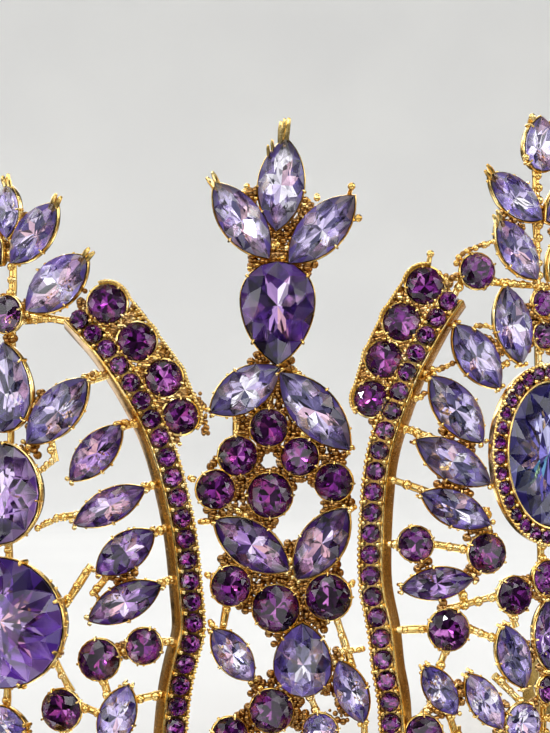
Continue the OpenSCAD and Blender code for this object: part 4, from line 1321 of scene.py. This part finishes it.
bowl = bpy.data.meshes.new("studio_floor")
prof = [(0.0, 0.0), (0.35, 0.0), (0.9, 0.0)]
for i in range(1, 13):
    a = math.pi / 2 * i / 12
    prof.append((0.9 + 0.6 * math.sin(a), 0.6 - 0.6 * math.cos(a)))
prof.append((1.5, 2.6))
N = 96
verts, faces = [], []
for r, z in prof:
    verts += [(r * math.cos(2 * math.pi * j / N), r * math.sin(2 * math.pi * j / N), z) for j in range(N)]
for i in range(len(prof) - 1):
    for j in range(N):
        a, b = i * N + j, i * N + (j + 1) % N
        if i == 0:
            faces.append([0, a + N, b + N])
        else:
            faces.append([a, a + N, b + N, b])
bowl.from_pydata(verts, [], faces)
bowl.polygons.foreach_set("use_smooth", [True] * len(bowl.polygons))
bowl_ob = bpy.data.objects.new("studio_floor", bowl)
scene.collection.objects.link(bowl_ob)
m, nt, b = new_material("studio_paper")
nt.links.new(mix_colour(nt, value_range(nt, noise(nt, 6.0, 2.0), 0.0, 1.0, 0.3, 0.7), (0.755, 0.755, 0.752), (0.795, 0.795, 0.785)), b.inputs["Base Color"])
b.inputs["Roughness"].default_value = 0.9
b.inputs["Specular IOR Level"].default_value = 0.1
bowl.materials.append(m)
bowl_ob.visible_glossy = False
bowl_ob.visible_transmission = False

world = bpy.data.worlds.new("studio")
scene.world = world
world.use_nodes = True
nt = world.node_tree
bg = next(n for n in nt.nodes if n.type == "BACKGROUND")
tc = nt.nodes.new("ShaderNodeTexCoord")
wn = nt.nodes.new("ShaderNodeTexNoise")
wn.inputs["Scale"].default_value = 2.1
wn.inputs["Detail"].default_value = 2.0
nt.links.new(tc.outputs["Generated"], wn.inputs["Vector"])
# a pale room with a few dark things in it, as the stones show it, and as bare metal does
stones_see = ramp(nt, [(0.0, (0.02, 0.02, 0.03)), (0.40, (0.10, 0.10, 0.12)), (0.45, (0.80, 0.80, 0.84)), (0.54, (1.15, 1.15, 1.15)), (0.62, (1.7, 1.7, 1.7))], wn.outputs["Fac"])
metal_sees = ramp(nt, [(0.0, (0.01, 0.008, 0.006)), (0.44, (0.06, 0.05, 0.04)), (0.50, (0.60, 0.59, 0.57)), (0.56, (1.6, 1.6, 1.6)), (0.64, (4.0, 4.0, 4.0))], wn.outputs["Fac"])
path = nt.nodes.new("ShaderNodeLightPath")
nt.links.new(mix_colour(nt, path.outputs["Is Transmission Ray"], metal_sees, stones_see), bg.inputs["Color"])
bg.inputs["Strength"].default_value = 1.0


def area(name, at, to, size, power, colour=(1, 1, 1), seen=False):
    d = bpy.data.lights.new(name, "AREA")
    d.shape = "RECTANGLE"
    d.size, d.size_y = size
    d.energy = power
    d.color = colour
    o = bpy.data.objects.new(name, d)
    o.location = at
    o.rotation_euler = (Vector(to) - Vector(at)).to_track_quat("-Z", "Y").to_euler()
    o.visible_glossy = seen
    o.visible_transmission = seen
    scene.collection.objects.link(o)
    return o


crown_mid = (0, 0, 0.06)
area("key", (-0.75, -0.45, 0.85), crown_mid, (0.5, 0.5), 2.0)
area("fill", (0.55, -0.9, 0.45), crown_mid, (0.35, 0.7), 1.0)
area("top", (0.0, 0.15, 1.15), crown_mid, (0.9, 0.9), 3.05)
area("back", (0.3, 0.85, 0.55), crown_mid, (0.8, 0.4), 1.12)
for k, (x, y, z) in enumerate(((-0.5, -0.6, 0.75), (0.25, -0.95, 0.5), (-0.95, 0.1, 0.4), (0.7, -0.3, 0.8), (0.1, 0.9, 0.7), (-0.9, -0.35, 0.25),
                              (-0.7, -0.75, 0.5), (-0.15, -0.9, 0.8), (0.6, -0.7, 0.35), (-0.3, -1.0, 0.25))):
    area("spark_%d" % k, (x, y, z), crown_mid, (0.034, 0.034), 0.34, seen=True)

cam_data = bpy.data.cameras.new("camera")
cam = bpy.data.objects.new("camera", cam_data)
scene.collection.objects.link(cam)
AZ, EL, DIST, AIM_Z = math.radians(-29.0), math.radians(-4.0), 0.190, 0.067
aim = Vector((0.069 * math.sin(AZ), -0.069 * math.cos(AZ) + SHIFT * 0.001, AIM_Z))
out = Vector((math.sin(AZ) * math.cos(EL), -math.cos(AZ) * math.cos(EL), math.sin(EL)))
cam.location = aim + out * DIST
cam.rotation_euler = (-out).to_track_quat("-Z", "Y").to_euler()
cam_data.sensor_width = 36.0
cam_data.lens = 36.0 * 7.2 * 190.0 / 733.0
cam_data.clip_start = 0.005
cam_data.clip_end = 20.0
scene.camera = cam
